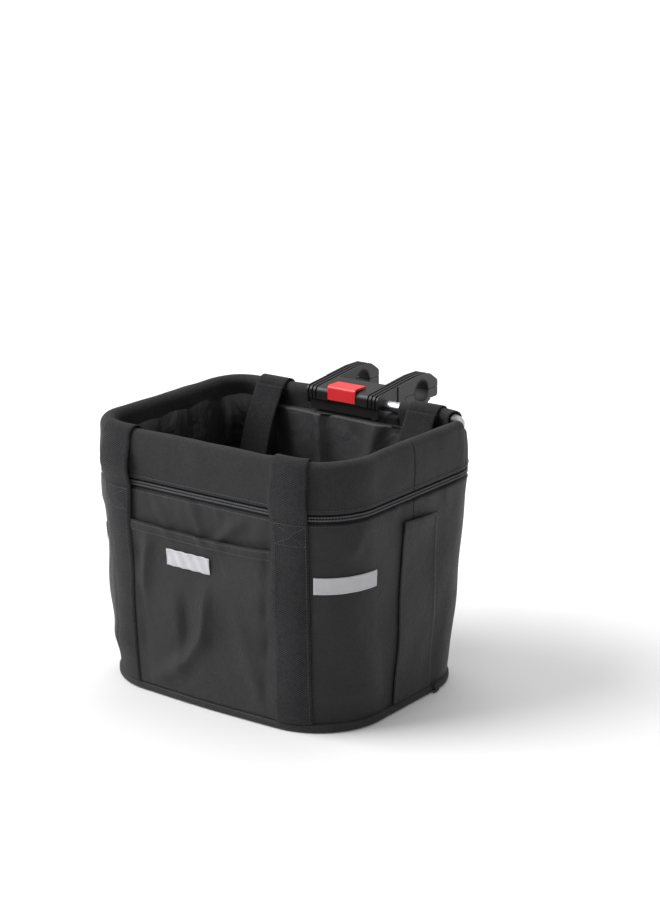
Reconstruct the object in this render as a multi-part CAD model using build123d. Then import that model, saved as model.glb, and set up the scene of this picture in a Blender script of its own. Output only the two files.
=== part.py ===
from build123d import *
import math
import os

# Handlebar basket with a quick-release bracket. Millimetres.
# Origin: centre of the handlebar, midway between the two clamps.
# +X along the handlebar, the basket hangs towards -Y, +Z up.

# ---- handlebar bracket ----
BAR_DIA = 25.4
SHIM_WALL = 2.0
CLAMP_WALL = 4.0
CLAMP_SPLIT = 0.6
BRACKET_WIDTH = 100.0
ARM_WIDTH = 18.0
ARM_FRONT_BOTTOM = -8.0
BOSS_REACH = 32.0
BOSS_TOP = 8.0
ARM_END = 1.0
SOCKET_FLOOR_THICK = 2.5
CAP_DEPTH = 11.0
BOLT_DIA = 5.0
BOLT_HEAD_DIA = 8.5
BOLT_HEAD_HEIGHT = 5.0
NUT_ACROSS = 8.0
NUT_HEIGHT = 4.0
NUT_FLOOR = 1.2
BOLT_PAST_NUT = 1.5
HEX_KEY = 4.0
CAP_CHAMFER = 2.0
DECK_TOP = 3.0
RIB_GROOVE = 2.4
RIB_PITCH = 5.0
RIB_DEPTH = 1.2
RIB_COUNT = 3

# ---- release head, button and latch ----
HEAD_DEPTH = 39.0
HEAD_TOP = 14.0
BROW_DROP = 3.5
BROW_RADIUS = 6.0
LIP_THICK = 4.0
HEAD_SIDE_STEP = 1.0
LOWER_SIDE_STEP = 3.0
TUBE_GRIP = 0.05
HEAD_HEEL = 22.0
HEAD_BELOW_TUBE = 8.0
HEAD_SPLIT = 0.4
HEAD_LIP = 2.0
BUTTON_WIDTH = 37.5
BUTTON_BACK = 20.0
BUTTON_WALL = 2.4
BUTTON_PROUD = 1.2
BUTTON_RISE = 1.0
BUTTON_ROUND = 3.8
BUTTON_LIFT = 0.5
BUTTON_TRAVEL = 3.0
BRIDGE_THICK = 2.6
BRIDGE_LAP = 3.0
BRIDGE_CLEAR = 1.0
FOOT_WIDTH = 6.0
FOOT_SETBACK = 3.8
FOOT_ABOVE_LATCH = 1.0
LATCH_WIDTH = 13.0
LATCH_THICK = 5.0
LATCH_REACH = 5.0
LATCH_DROP = 3.0
LATCH_CLEAR = 0.7
LUG_DEPTH = 2.3
LUG_RISE = 2.0
WINDOW_CLEAR = 2.0
KEEPER_HOLD = 2.5
KEEPER_SEAT = 2.5
KEEPER_THICK = 1.0
TONGUE_NECK = 8.0
TONGUE_HEAD = 13.0
TONGUE_SPACING = 38.0
TONGUE_DEPTH = 9.0
HEAD_SCREW_DIA = 3.0
HEAD_SCREW_RISE = 6.0
HEAD_SCREW_CAP = 1.5
HEAD_SCREW_SLOT = 0.8
SPRING_DIA = 5.0
SPRING_WIRE = 0.7
SPRING_TURNS = 4
SPRING_SPACING = 24.0

# ---- rim ----
RIM_WIDTH = 332.0
RIM_DEPTH = 255.0
RIM_REAR_RADIUS = 42.0
RIM_FRONT_RADIUS = 57.0
RIM_BOW = 1.0
BAR_TO_RIM = 68.0
RIM_DROP = 2.0
TUBE_DIA = 12.0
TUBE_WALL = 1.3
TUBE_JOINT = 1.0
JOINER_LENGTH = 70.0
SLEEVE_WALL = 1.2
BARE_TUBE = 142.0

# ---- collar, zip and walls ----
COLLAR_HEIGHT = 44.0
COLLAR_FLARE = 0.4
FABRIC = 1.3
ZIP_GAP = 10.0
ZIP_COIL = 1.8
ZIP_COIL_PITCH = 3.4
ZIP_TAPE_THICK = 1.0
ZIP_TAPE_IN_COLLAR = 2.5
ZIP_TAPE_IN_WALL = 1.0
WALL_CLOTH = 1.6
LINING_CLOTH = 0.8
COVER_THICK = 3.0
COVER_DEPTH = 74.0
BACK_PAD_WIDTH = 208.0
BACK_PAD_THICK = 2.0
BACK_PAD_TOP_GAP = 2.0
BACK_PAD_FOOT_GAP = 8.0

# ---- base ----
BASE_WIDTH = 340.0
BASE_DEPTH = 253.0
BASE_REAR_RADIUS = 68.0
BASE_FRONT_RADIUS = 76.0
BASE_BOW = 7.0
BASE_WALL_IN = 2.0
BOW_RADIUS = 900.0
BASE_SETBACK = 4.0
BODY_HEIGHT = 286.5
BINDING_HEIGHT = 10.0
BINDING_THICK = 3.2
BASE_PANEL_THICK = 2.0
BASE_BOARD_THICK = 4.0
BOARD_INSET = 9.0

# ---- pockets, strips and straps ----
PATCH_CLOTH = 1.2
POCKET_TO_STRAP = 1.5
POCKET_DROP = 47.0
SIDE_POCKET_DROP = 31.0
SIDE_POCKET_REAR = 88.0
SIDE_POCKET_WIDTH = 57.0
SIDE_POCKET_SPREAD = 12.0
STRIP_THICK = 0.5
STRIP_HEIGHT = 18.0
STRIP_DROP = 68.5
FRONT_STRIP_LEFT = -45.0
FRONT_STRIP_LENGTH = 59.0
SIDE_STRIP_FROM = 138.0
SIDE_STRIP_REACH = 192.0
WEB_WIDTH = 38.0
WEB_THICK = 1.6
FRONT_STRAP_SPACING = 226.0
REAR_STRAP_SPACING = 210.0
HANDLE_DROP = 188.0
REAR_HANDLE_LEAN = 20.0
SLIDER_FROM_CORNER = 12.0
SLIDER_THICK = 2.6
SLIDER_LENGTH = 11.0
SLIDER_HEIGHT = 8.4
PULL_LENGTH = 20.0
PULL_WIDTH = 4.4
PULL_THICK = 1.4
PIN_DIA = 1.8
EYE_WALL = 0.7

# ---- clearances ----
SLIDE_FIT = 0.3
CLOTH_GAP = 0.3
SCREW_FIT = 0.15
PIVOT_FIT = 0.08

# ---- places worked out from the sizes above ----
BAR_R = BAR_DIA / 2
SHIM_R = BAR_R + SHIM_WALL
CLAMP_R = SHIM_R + CLAMP_WALL
TUBE_R = TUBE_DIA / 2
SLEEVE_R = TUBE_R + CLOTH_GAP + SLEEVE_WALL
RIM_Y = -BAR_TO_RIM
RIM_Z = -RIM_DROP
RIM_FRONT_Y = RIM_Y - RIM_DEPTH
COLLAR_OUT = SLEEVE_R + CLOTH_GAP + FABRIC
COLLAR_BOTTOM = RIM_Z - COLLAR_HEIGHT
WALL_TOP = COLLAR_BOTTOM - ZIP_GAP
WALL_OUT = COLLAR_OUT
TAPE_OUT = WALL_OUT - WALL_CLOTH - CLOTH_GAP
BASE_Z = RIM_Z - BODY_HEIGHT
WALL_BOTTOM = BASE_Z + BINDING_HEIGHT + CLOTH_GAP
BASE_Y = RIM_Y - BASE_SETBACK
LINING_TOP = RIM_Z - SLEEVE_R - CLOTH_GAP
LINING_OUT = TAPE_OUT - ZIP_TAPE_THICK - CLOTH_GAP
HEAD_FRONT = RIM_Y - HEAD_DEPTH + HEAD_HEEL
HEAD_REAR = RIM_Y + HEAD_HEEL
HEAD_BOTTOM = RIM_Z - TUBE_R - HEAD_BELOW_TUBE
BROW_TOP = HEAD_TOP - BROW_DROP
# The ribbed rails rise in one straight line from the head's brow to the tops of the clamps.
CLAMP_CREST = -CLAMP_R / 2
RAIL_SLOPE = (CLAMP_R - BROW_TOP) / (CLAMP_CREST - HEAD_FRONT)
ARM_FRONT_TOP = BROW_TOP + RAIL_SLOPE * (HEAD_REAR - HEAD_FRONT)
PLATE_FRONT = HEAD_REAR + SLIDE_FIT
NUT_R = NUT_ACROSS / math.sqrt(3)
PLATE_REAR = -BOSS_REACH - ARM_END + SLIDE_FIT
WRAP_IN = COLLAR_OUT + CLOTH_GAP
WRAP_OUT = WRAP_IN + WEB_THICK
POCKET_WIDTH = FRONT_STRAP_SPACING - WEB_WIDTH - 2 * POCKET_TO_STRAP
BIG = 600.0

os.makedirs("parts", exist_ok=True)


def save(shape, node):
    """Write one named sub-part."""
    shape.label = node
    export_step(shape, f"parts/{node}.step")


def block(x0, x1, y0, y1, z0, z1):
    """Box between two corners."""
    middle = ((x0 + x1) / 2, (y0 + y1) / 2, (z0 + z1) / 2)
    return Pos(*middle) * Box(x1 - x0, y1 - y0, z1 - z0)


def slab(points, x0, x1, radii=0):
    """Outline given as (y, z) points, with rounded corners, carried along X from x0 to x1."""
    corners = [(0, y, z) for y, z in points]
    if radii:
        face = make_face(FilletPolyline(*corners, radius=radii, close=True))
    else:
        face = make_face(Polyline(*corners, close=True))
    return Pos(x0, 0, 0) * extrude(face, amount=x1 - x0, dir=(1, 0, 0))


def rod_x(radius, x0, x1, y, z):
    """Cylinder along X."""
    return Pos((x0 + x1) / 2, y, z) * Rot(0, 90, 0) * Cylinder(radius, x1 - x0)


def rod_z(radius, x, y, z0, z1):
    """Cylinder along Z."""
    return Pos(x, y, (z0 + z1) / 2) * Cylinder(radius, z1 - z0)


def mirrored(shape):
    """The same piece on the other side of the bicycle."""
    return mirror(shape, about=Plane.YZ)


def outline(z, grow, width, rear_y, depth, rear_radius, front_radius, bow):
    """Closed outline at height z: straight back and sides, rounded corners, bowed front."""
    half = width / 2 + grow
    back = rear_y + grow
    front = rear_y - depth - grow
    points = [(-half, back, z), (half, back, z), (half, front, z), (0, front - bow, z), (-half, front, z)]
    rear = rear_radius + grow
    corner = front_radius + grow
    line = FilletPolyline(*points, radius=[rear, rear, corner, BOW_RADIUS, corner], close=True)
    return make_face(line)


def rim_outline(z, grow):
    """Outline parallel to the rim tube's centre line, grow outside it."""
    return outline(z, grow, RIM_WIDTH, RIM_Y, RIM_DEPTH, RIM_REAR_RADIUS, RIM_FRONT_RADIUS, RIM_BOW)


def base_outline(z, grow):
    """Outline parallel to the edge of the base, grow outside it."""
    return outline(z, grow, BASE_WIDTH, BASE_Y, BASE_DEPTH, BASE_REAR_RADIUS, BASE_FRONT_RADIUS, BASE_BOW)


def band(z0, z1, out0, out1, thick):
    """Closed band of cloth round the rim from z0 to z1, flaring from out0 to out1."""
    outer = loft([rim_outline(z0, out0), rim_outline(z1, out1)], ruled=True)
    inner = loft([rim_outline(z0, out0 - thick), rim_outline(z1, out1 - thick)], ruled=True)
    return outer - inner


def wall_layer(outset, thick, top=WALL_TOP, top_out=WALL_OUT):
    """Closed tapering layer of cloth from the zip to the base, outset from the outer wall's face."""
    out0 = top_out + outset
    out1 = outset - BASE_WALL_IN
    outer = loft([rim_outline(top, out0), base_outline(WALL_BOTTOM, out1)], ruled=True)
    inner = loft([rim_outline(top, out0 - thick), base_outline(WALL_BOTTOM, out1 - thick)], ruled=True)
    return outer - inner


def plate(z0, z1, grow):
    """Flat plate of the base's outline."""
    return extrude(base_outline(z0, grow), amount=z1 - z0, dir=(0, 0, 1))


# ---------------------------------------------------------------- bracket
# Side view of an arm: it rises from the plate to wrap over the bar, then falls to the rear bolt boss.
SPLIT = CLAMP_SPLIT / 2
ARM_SIDE = [
    (PLATE_FRONT, ARM_FRONT_BOTTOM),
    (-BOSS_REACH - ARM_END, ARM_FRONT_BOTTOM),
    (-BOSS_REACH - ARM_END, SPLIT),
    (BOSS_REACH, SPLIT),
    (BOSS_REACH, BOSS_TOP),
    (CLAMP_R - 3.0, CLAMP_R),
    (CLAMP_CREST, CLAMP_R),
    (PLATE_FRONT, ARM_FRONT_TOP),
]
ARM_RADII = [0, 0, 0, 0, 5.0, 12.0, 20.0, 0]
HALF_BRACKET = BRACKET_WIDTH / 2
ARM_IN = HALF_BRACKET - ARM_WIDTH
RIB_FIRST = ARM_IN + (ARM_WIDTH - (RIB_COUNT - 1) * RIB_PITCH) / 2


def groove_floor(points):
    """The same outline, its upper and front edges set in by the depth of a groove."""
    floor = []
    for y, z in points:
        inset = RIB_DEPTH if y < HEAD_FRONT + 1 else 0
        floor.append((y + inset, z - RIB_DEPTH if z > SPLIT + 3.0 else z))
    return floor


def ribbed(solid, points, radii, side):
    """Cut the grooves between the ribs into the upper face of an arm or of the head's end."""
    for number in range(RIB_COUNT):
        middle = side * (RIB_FIRST + number * RIB_PITCH)
        x0 = middle - RIB_GROOVE / 2
        x1 = middle + RIB_GROOVE / 2
        solid = solid - (slab(points, x0, x1, radii) - slab(groove_floor(points), x0, x1, radii))
    return solid


def bracket_arm(side):
    x0 = min(side * ARM_IN, side * HALF_BRACKET)
    arm = slab(ARM_SIDE, x0, x0 + ARM_WIDTH, ARM_RADII)
    arm = ribbed(arm, ARM_SIDE, ARM_RADII, side)
    return arm - rod_x(SHIM_R, x0 - 1, x0 + ARM_WIDTH + 1, 0, 0)


def bolt_places():
    """Four bolts: one before and one behind the bar in each clamp."""
    reach = (SHIM_R + BOSS_REACH) / 2
    across = HALF_BRACKET - ARM_WIDTH / 2
    return [(x, y) for x in (-across, across) for y in (-reach, reach)]


BOLT_TOP = NUT_FLOOR + NUT_HEIGHT + BOLT_PAST_NUT
CAP_BOTTOM = -CAP_DEPTH
# The socket plate joins the two arms; its two T slots and the latch pocket open to the front.
plate_block = block(-HALF_BRACKET, HALF_BRACKET, PLATE_FRONT, PLATE_REAR, HEAD_BOTTOM, DECK_TOP)
socket = plate_block
SOCKET_FLOOR = HEAD_BOTTOM + SOCKET_FLOOR_THICK
for side in (-1, 1):
    middle = side * TONGUE_SPACING / 2
    neck = TONGUE_NECK / 2 + SLIDE_FIT
    head = TONGUE_HEAD / 2 + SLIDE_FIT
    shoulder = PLATE_FRONT + TONGUE_DEPTH / 2 - SLIDE_FIT
    back = PLATE_FRONT + TONGUE_DEPTH
    socket = socket - block(middle - neck, middle + neck, PLATE_FRONT - 1, back, SOCKET_FLOOR, DECK_TOP + 1)
    socket = socket - block(middle - head, middle + head, shoulder, back, SOCKET_FLOOR, DECK_TOP + 1)
LATCH_TOP = RIM_Z - LATCH_DROP
LATCH_BOTTOM = LATCH_TOP - LATCH_THICK
POCKET_SIDE = LATCH_WIDTH / 2 + SLIDE_FIT
LATCH_BACK = PLATE_FRONT + LATCH_REACH
socket = socket - block(-POCKET_SIDE, POCKET_SIDE, PLATE_FRONT - 1, LATCH_BACK + SLIDE_FIT,
                        LATCH_BOTTOM - SLIDE_FIT, DECK_TOP + 1)
# A strip of spring steel lies across the latch's groove, in a slot in the plate. The latch's nose
# clicks under its front edge, and the button draws the nose clear of it.
KEEPER_BOTTOM = LATCH_TOP + SLIDE_FIT
KEEPER_FRONT = LATCH_BACK - KEEPER_HOLD
KEEPER_SIDE = POCKET_SIDE + KEEPER_SEAT
keeper = block(-KEEPER_SIDE, KEEPER_SIDE, KEEPER_FRONT, LATCH_BACK + SLIDE_FIT + KEEPER_SEAT,
               KEEPER_BOTTOM, KEEPER_BOTTOM + KEEPER_THICK)
save(socket - keeper, "bracket_socket")
save(keeper, "keeper_spring")
for side, node in ((-1, "bracket_arm_left"), (1, "bracket_arm_right")):
    arm = bracket_arm(side) - plate_block
    for x, y in bolt_places():
        if x * side > 0:
            arm = arm - rod_z(BOLT_DIA / 2 + SCREW_FIT, x, y, -1, BOLT_TOP + 0.5)
            pocket = extrude(RegularPolygon(NUT_R + SCREW_FIT, 6), amount=NUT_FLOOR + NUT_HEIGHT + 1.1)
            arm = arm - Pos(x, y, -1) * pocket
    save(arm, node)

CAP_SIDE = [
    (-BOSS_REACH, -SPLIT),
    (-BOSS_REACH, -CAP_DEPTH + CAP_CHAMFER),
    (-BOSS_REACH + CAP_CHAMFER, -CAP_DEPTH),
    (-CLAMP_R + 1.0, -CAP_DEPTH),
    (-CLAMP_R * 0.55, -CLAMP_R + 1.2),
    (CLAMP_R * 0.55, -CLAMP_R + 1.2),
    (CLAMP_R - 1.0, -CAP_DEPTH),
    (BOSS_REACH - CAP_CHAMFER, -CAP_DEPTH),
    (BOSS_REACH, -CAP_DEPTH + CAP_CHAMFER),
    (BOSS_REACH, -SPLIT),
]
cap = slab(CAP_SIDE, ARM_IN, HALF_BRACKET) - rod_x(SHIM_R, ARM_IN - 1, HALF_BRACKET + 1, 0, 0)
for x, y in bolt_places():
    if x > 0:
        cap = cap - rod_z(BOLT_DIA / 2 + SCREW_FIT, x, y, -CLAMP_R - 1, 1)
save(cap, "clamp_cap_right")
save(mirrored(cap), "clamp_cap_left")

# Split rubber ring between each clamp and the bar; its slit faces the rear.
shim = rod_x(SHIM_R, ARM_IN, HALF_BRACKET, 0, 0) - rod_x(BAR_R, ARM_IN - 1, HALF_BRACKET + 1, 0, 0)
shim = shim - block(ARM_IN - 1, HALF_BRACKET + 1, BAR_R - 1, SHIM_R + 1, -0.5, 0.5)
save(shim, "rubber_shim_right")
save(mirrored(shim), "rubber_shim_left")

# Socket-head bolts come up from below; each nut is caught in a pocket under the arm.
bolts = []
nuts = []
for x, y in bolt_places():
    shank = rod_z(BOLT_DIA / 2, x, y, CAP_BOTTOM, BOLT_TOP)
    head = rod_z(BOLT_HEAD_DIA / 2, x, y, CAP_BOTTOM - BOLT_HEAD_HEIGHT, CAP_BOTTOM)
    socket_hex = extrude(RegularPolygon(HEX_KEY / math.sqrt(3), 6), amount=BOLT_HEAD_HEIGHT / 2)
    hexagon = Pos(x, y, CAP_BOTTOM - BOLT_HEAD_HEIGHT) * socket_hex
    bolts.append(shank + head - hexagon)
    nut = Pos(x, y, NUT_FLOOR) * extrude(RegularPolygon(NUT_R, 6), amount=NUT_HEIGHT)
    nuts.append(nut - rod_z(BOLT_DIA / 2, x, y, 0, CLAMP_R))
save(Compound(children=bolts), "clamp_bolts")
save(Compound(children=nuts), "clamp_nuts")

# ----------------------------------------------------------- release head
# Side view of the head: square back, rounded brow, upright front face.
HEAD_SIDE = [
    (HEAD_REAR, RIM_Z + HEAD_SPLIT / 2),
    (HEAD_REAR, ARM_FRONT_TOP),
    (HEAD_FRONT, BROW_TOP),
    (HEAD_FRONT, RIM_Z - HEAD_LIP),
    (HEAD_FRONT + LIP_THICK, RIM_Z - HEAD_LIP),
    (HEAD_FRONT + LIP_THICK, RIM_Z + HEAD_SPLIT / 2),
]
HEAD_RADII = [0, 0, BROW_RADIUS, 0.8, 0, 0]
HALF_HEAD = HALF_BRACKET - HEAD_SIDE_STEP
HALF_LOWER = HALF_BRACKET - LOWER_SIDE_STEP
upper = slab(HEAD_SIDE, -HALF_HEAD, HALF_HEAD, HEAD_RADII)
for side in (-1, 1):
    upper = ribbed(upper, HEAD_SIDE, HEAD_RADII, side)
TUBE_SEAT = TUBE_R + TUBE_GRIP
upper = upper - rod_x(TUBE_SEAT, -HALF_BRACKET, HALF_BRACKET, RIM_Y, RIM_Z)
lower = block(-HALF_LOWER, HALF_LOWER, HEAD_FRONT + LIP_THICK + SLIDE_FIT, HEAD_REAR,
              HEAD_BOTTOM, RIM_Z - HEAD_SPLIT / 2)
lower = lower - rod_x(TUBE_SEAT, -HALF_BRACKET, HALF_BRACKET, RIM_Y, RIM_Z)

# Two T-shaped tongues behind the head drop into the bracket's sockets.
for side in (-1, 1):
    middle = side * TONGUE_SPACING / 2
    top = DECK_TOP - SLIDE_FIT
    bottom = SOCKET_FLOOR + SLIDE_FIT
    shoulder = PLATE_FRONT + TONGUE_DEPTH / 2
    back = PLATE_FRONT + TONGUE_DEPTH - SLIDE_FIT
    seam = RIM_Z + HEAD_SPLIT / 2
    neck = block(middle - TONGUE_NECK / 2, middle + TONGUE_NECK / 2, HEAD_REAR - 2, back, seam, top)
    head = block(middle - TONGUE_HEAD / 2, middle + TONGUE_HEAD / 2, shoulder, back, bottom, top)
    foot = block(middle - TONGUE_NECK / 2, middle + TONGUE_NECK / 2, HEAD_REAR + 0.1, back, bottom, seam)
    upper = upper + neck + head + foot

# Opening for the button, its guide feet and its springs.
HALF_BUTTON = BUTTON_WIDTH / 2
BUTTON_FRONT = HEAD_FRONT - BUTTON_PROUD
BUTTON_REAR = HEAD_FRONT + BUTTON_BACK
BUTTON_TOP = HEAD_TOP + BUTTON_RISE
HEAD_FLOOR = RIM_Z + TUBE_R + 1.6
upper = upper - block(-HALF_BUTTON - SLIDE_FIT, HALF_BUTTON + SLIDE_FIT, HEAD_FRONT - 1,
                      BUTTON_REAR + SLIDE_FIT, HEAD_FLOOR, BIG)
FACE_INNER = BUTTON_FRONT + BUTTON_WALL
upper = upper - block(-HALF_BUTTON - SLIDE_FIT, HALF_BUTTON + SLIDE_FIT, HEAD_FRONT - 1,
                      FACE_INNER + SLIDE_FIT, RIM_Z - HEAD_LIP - 1, BIG)

# A bridge under the head's skin carries the button's foot over the tube. The foot has a 45 degree
# face: pushed down, it draws the latch forward.
LATCH_FRONT = RIM_Y + TUBE_R + BUTTON_TRAVEL + LATCH_CLEAR
LUG_TOP = RIM_Z + LUG_RISE
FOOT_HALF = FOOT_WIDTH / 2
FOOT_REAR = HEAD_REAR - FOOT_SETBACK
FOOT_BOTTOM = LATCH_TOP + FOOT_ABOVE_LATCH
WEDGE = LATCH_FRONT + LUG_DEPTH + LUG_TOP
GAP = SLIDE_FIT * math.sqrt(2)
FOOT_FRONT = WEDGE + GAP - LUG_TOP
BRIDGE_BOTTOM = RIM_Z + TUBE_R + BUTTON_TRAVEL + BRIDGE_CLEAR
BRIDGE_TOP = BRIDGE_BOTTOM + BRIDGE_THICK
BRIDGE_FRONT = BUTTON_REAR - BRIDGE_LAP
CAP_UNDER = BUTTON_TOP - BUTTON_WALL
foot = slab([
    (FOOT_REAR, BRIDGE_TOP),
    (FOOT_REAR, FOOT_BOTTOM),
    (WEDGE + GAP - FOOT_BOTTOM, FOOT_BOTTOM),
    (FOOT_FRONT, LUG_TOP),
    (FOOT_FRONT, BRIDGE_TOP),
], -FOOT_HALF, FOOT_HALF)
cap_top = block(-HALF_BUTTON, HALF_BUTTON, BUTTON_FRONT, BUTTON_REAR, CAP_UNDER, BUTTON_TOP)
cap_face = block(-HALF_BUTTON, HALF_BUTTON, BUTTON_FRONT, FACE_INNER, RIM_Z + BUTTON_LIFT, BUTTON_TOP)
post = block(-FOOT_HALF, FOOT_HALF, BRIDGE_FRONT, BUTTON_REAR, BRIDGE_BOTTOM, CAP_UNDER)
bridge = block(-FOOT_HALF, FOOT_HALF, BRIDGE_FRONT, FOOT_REAR, BRIDGE_BOTTOM, BRIDGE_TOP)
brow_edges = (cap_top + cap_face).edges().filter_by(Axis.X).sort_by(Axis.Z)[-2:].sort_by(Axis.Y)[:1]
shell = fillet(brow_edges, min(BUTTON_ROUND, BUTTON_BACK / 3))
button = shell + post + bridge + foot
save(button, "release_button")

# The foot's well and the bridge's slot in the head.
WELL_SIDE = FOOT_HALF + SLIDE_FIT
upper = upper - block(-WELL_SIDE, WELL_SIDE, LATCH_FRONT - BUTTON_TRAVEL - SLIDE_FIT,
                      FOOT_REAR + SLIDE_FIT, RIM_Z - 1, BRIDGE_TOP + SLIDE_FIT)
upper = upper - block(-WELL_SIDE, WELL_SIDE, BRIDGE_FRONT - SLIDE_FIT, FOOT_REAR + SLIDE_FIT,
                      BRIDGE_BOTTOM - BUTTON_TRAVEL - SLIDE_FIT, BRIDGE_TOP + SLIDE_FIT)

# Latch slide: a flat tongue with a window for the foot and a sloped lug in front of it.
HALF_LATCH = LATCH_WIDTH / 2
latch = block(-HALF_LATCH, HALF_LATCH, LATCH_FRONT, LATCH_BACK, LATCH_BOTTOM, LATCH_TOP)
lug = slab([
    (LATCH_FRONT, LATCH_TOP - 1),
    (WEDGE - LATCH_TOP + 1, LATCH_TOP - 1),
    (WEDGE - LUG_TOP, LUG_TOP),
    (LATCH_FRONT, LUG_TOP),
], -FOOT_HALF, FOOT_HALF)
WINDOW_BACK = FOOT_REAR + BUTTON_TRAVEL + 2 * SLIDE_FIT
WINDOW_FRONT = FOOT_FRONT + WINDOW_CLEAR
latch = latch + lug - block(-FOOT_HALF - 0.5, FOOT_HALF + 0.5, WINDOW_FRONT, WINDOW_BACK,
                            LATCH_BOTTOM - 1, LATCH_TOP + 1)
save(latch, "latch_slide")
lower = lower - block(-HALF_LATCH - SLIDE_FIT, HALF_LATCH + SLIDE_FIT,
                      LATCH_FRONT - BUTTON_TRAVEL - SLIDE_FIT, HEAD_REAR + 1,
                      LATCH_BOTTOM - SLIDE_FIT, RIM_Z + 1)

# Return springs between the head's floor and the underside of the button.
SPRING_TOP = BUTTON_TOP - BUTTON_WALL - 0.1
SPRING_FLOOR = HEAD_FLOOR + 0.1
SPRING_Y = RIM_Y - 1.0
springs = []
for x in (-SPRING_SPACING / 2, SPRING_SPACING / 2):
    rise = SPRING_TOP - SPRING_FLOOR - SPRING_WIRE
    coil = Helix(pitch=rise / SPRING_TURNS, height=rise, radius=(SPRING_DIA - SPRING_WIRE) / 2)
    start = Plane(origin=coil @ 0, z_dir=coil % 0)
    wire = sweep(start * Circle(SPRING_WIRE / 2), path=coil, is_frenet=True)
    springs.append(Pos(x, SPRING_Y, SPRING_FLOOR + SPRING_WIRE / 2) * wire)
save(Compound(children=springs), "button_springs")

# Screws from below hold the two halves round the tube.
SCREW_X = HALF_BRACKET - 11.0
SCREW_FRONT = (HEAD_FRONT + LIP_THICK + SLIDE_FIT + RIM_Y - TUBE_R) / 2
SCREW_REAR = HEAD_REAR - 8.0
screws = []
for x in (-SCREW_X, SCREW_X):
    for y in (SCREW_FRONT, SCREW_REAR):
        shank = rod_z(HEAD_SCREW_DIA / 2, x, y, HEAD_BOTTOM, RIM_Z + HEAD_SCREW_RISE)
        head = rod_z(HEAD_SCREW_DIA * 0.8, x, y, HEAD_BOTTOM - HEAD_SCREW_CAP, HEAD_BOTTOM)
        slot = block(x - HEAD_SCREW_SLOT / 2, x + HEAD_SCREW_SLOT / 2, y - HEAD_SCREW_DIA, y + HEAD_SCREW_DIA,
                     HEAD_BOTTOM - 2 * HEAD_SCREW_CAP, HEAD_BOTTOM - HEAD_SCREW_CAP / 2)
        screws.append(shank + head - slot)
        hole = rod_z(HEAD_SCREW_DIA / 2 + 0.05, x, y, HEAD_BOTTOM - 1, RIM_Z + HEAD_SCREW_RISE + 0.1)
        upper = upper - hole
        lower = lower - hole
save(Compound(children=screws), "head_screws")
save(upper, "head_upper")
save(lower, "head_lower")

# ------------------------------------------------------------------- rim
HALF_RIM = RIM_WIDTH / 2
TUBE_END = TUBE_JOINT / 2
SLEEVE_START = BARE_TUBE / 2
SLEEVE_STOP = HALF_RIM - RIM_REAR_RADIUS


def rim_path(points, radii):
    return FilletPolyline(*[(x, y, RIM_Z) for x, y in points], radius=radii)


def along(path, outer, inner):
    """Round tube of two radii carried along a path."""
    ring = Plane(origin=path @ 0, z_dir=path % 0) * (Circle(outer) - Circle(inner))
    return sweep(ring, path=path)


FRONT_POINTS = [(HALF_RIM, RIM_FRONT_Y), (0, RIM_FRONT_Y - RIM_BOW), (-HALF_RIM, RIM_FRONT_Y)]
FRONT_RADII = [RIM_FRONT_RADIUS, BOW_RADIUS, RIM_FRONT_RADIUS]
ring_path = rim_path(
    [(TUBE_END, RIM_Y), (HALF_RIM, RIM_Y)] + FRONT_POINTS + [(-HALF_RIM, RIM_Y), (-TUBE_END, RIM_Y)],
    [RIM_REAR_RADIUS] + FRONT_RADII + [RIM_REAR_RADIUS],
)
save(along(ring_path, TUBE_R, TUBE_R - TUBE_WALL), "rim_tube")
JOINER_R = TUBE_R - TUBE_WALL - TUBE_GRIP
save(rod_x(JOINER_R, -JOINER_LENGTH / 2, JOINER_LENGTH / 2, RIM_Y, RIM_Z), "tube_joiner")

SIDE_START = RIM_Y - RIM_REAR_RADIUS
sleeve_path = rim_path(
    [(HALF_RIM, SIDE_START)] + FRONT_POINTS + [(-HALF_RIM, SIDE_START)],
    FRONT_RADII,
)
save(along(sleeve_path, SLEEVE_R, SLEEVE_R - SLEEVE_WALL), "rim_sleeve_front")
rear_sleeve = rod_x(SLEEVE_R, SLEEVE_START, SLEEVE_STOP, RIM_Y, RIM_Z)
rear_sleeve = rear_sleeve - rod_x(SLEEVE_R - SLEEVE_WALL, SLEEVE_START - 1, SLEEVE_STOP + 1, RIM_Y, RIM_Z)
save(rear_sleeve, "rim_sleeve_rear_right")
save(mirrored(rear_sleeve), "rim_sleeve_rear_left")

# ------------------------------------------------- collar, zip and walls
HEAD_RELIEF = HEAD_BOTTOM - HEAD_SCREW_CAP - CLOTH_GAP
collar = band(RIM_Z, COLLAR_BOTTOM, COLLAR_OUT, COLLAR_OUT + COLLAR_FLARE, FABRIC)
collar = collar - block(-SLEEVE_START, SLEEVE_START, RIM_Y - TUBE_R, RIM_Y + BIG, HEAD_RELIEF, BIG)
save(collar, "collar")
tape = band(COLLAR_BOTTOM + ZIP_TAPE_IN_COLLAR, WALL_TOP - ZIP_TAPE_IN_WALL, TAPE_OUT, TAPE_OUT,
            ZIP_TAPE_THICK)
save(tape, "zip_tape")
coils = []
ZIP_MIDDLE = (COLLAR_BOTTOM + WALL_TOP) / 2
for side in (-1, 1):
    z = ZIP_MIDDLE + side * ZIP_COIL_PITCH / 2
    out = TAPE_OUT + ZIP_COIL
    coils.append(band(z + ZIP_COIL / 2, z - ZIP_COIL / 2, out, out, ZIP_COIL - TUBE_GRIP))
save(Compound(children=coils), "zip_coils")
wall = wall_layer(0, WALL_CLOTH)
save(wall, "wall_fabric")


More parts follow.
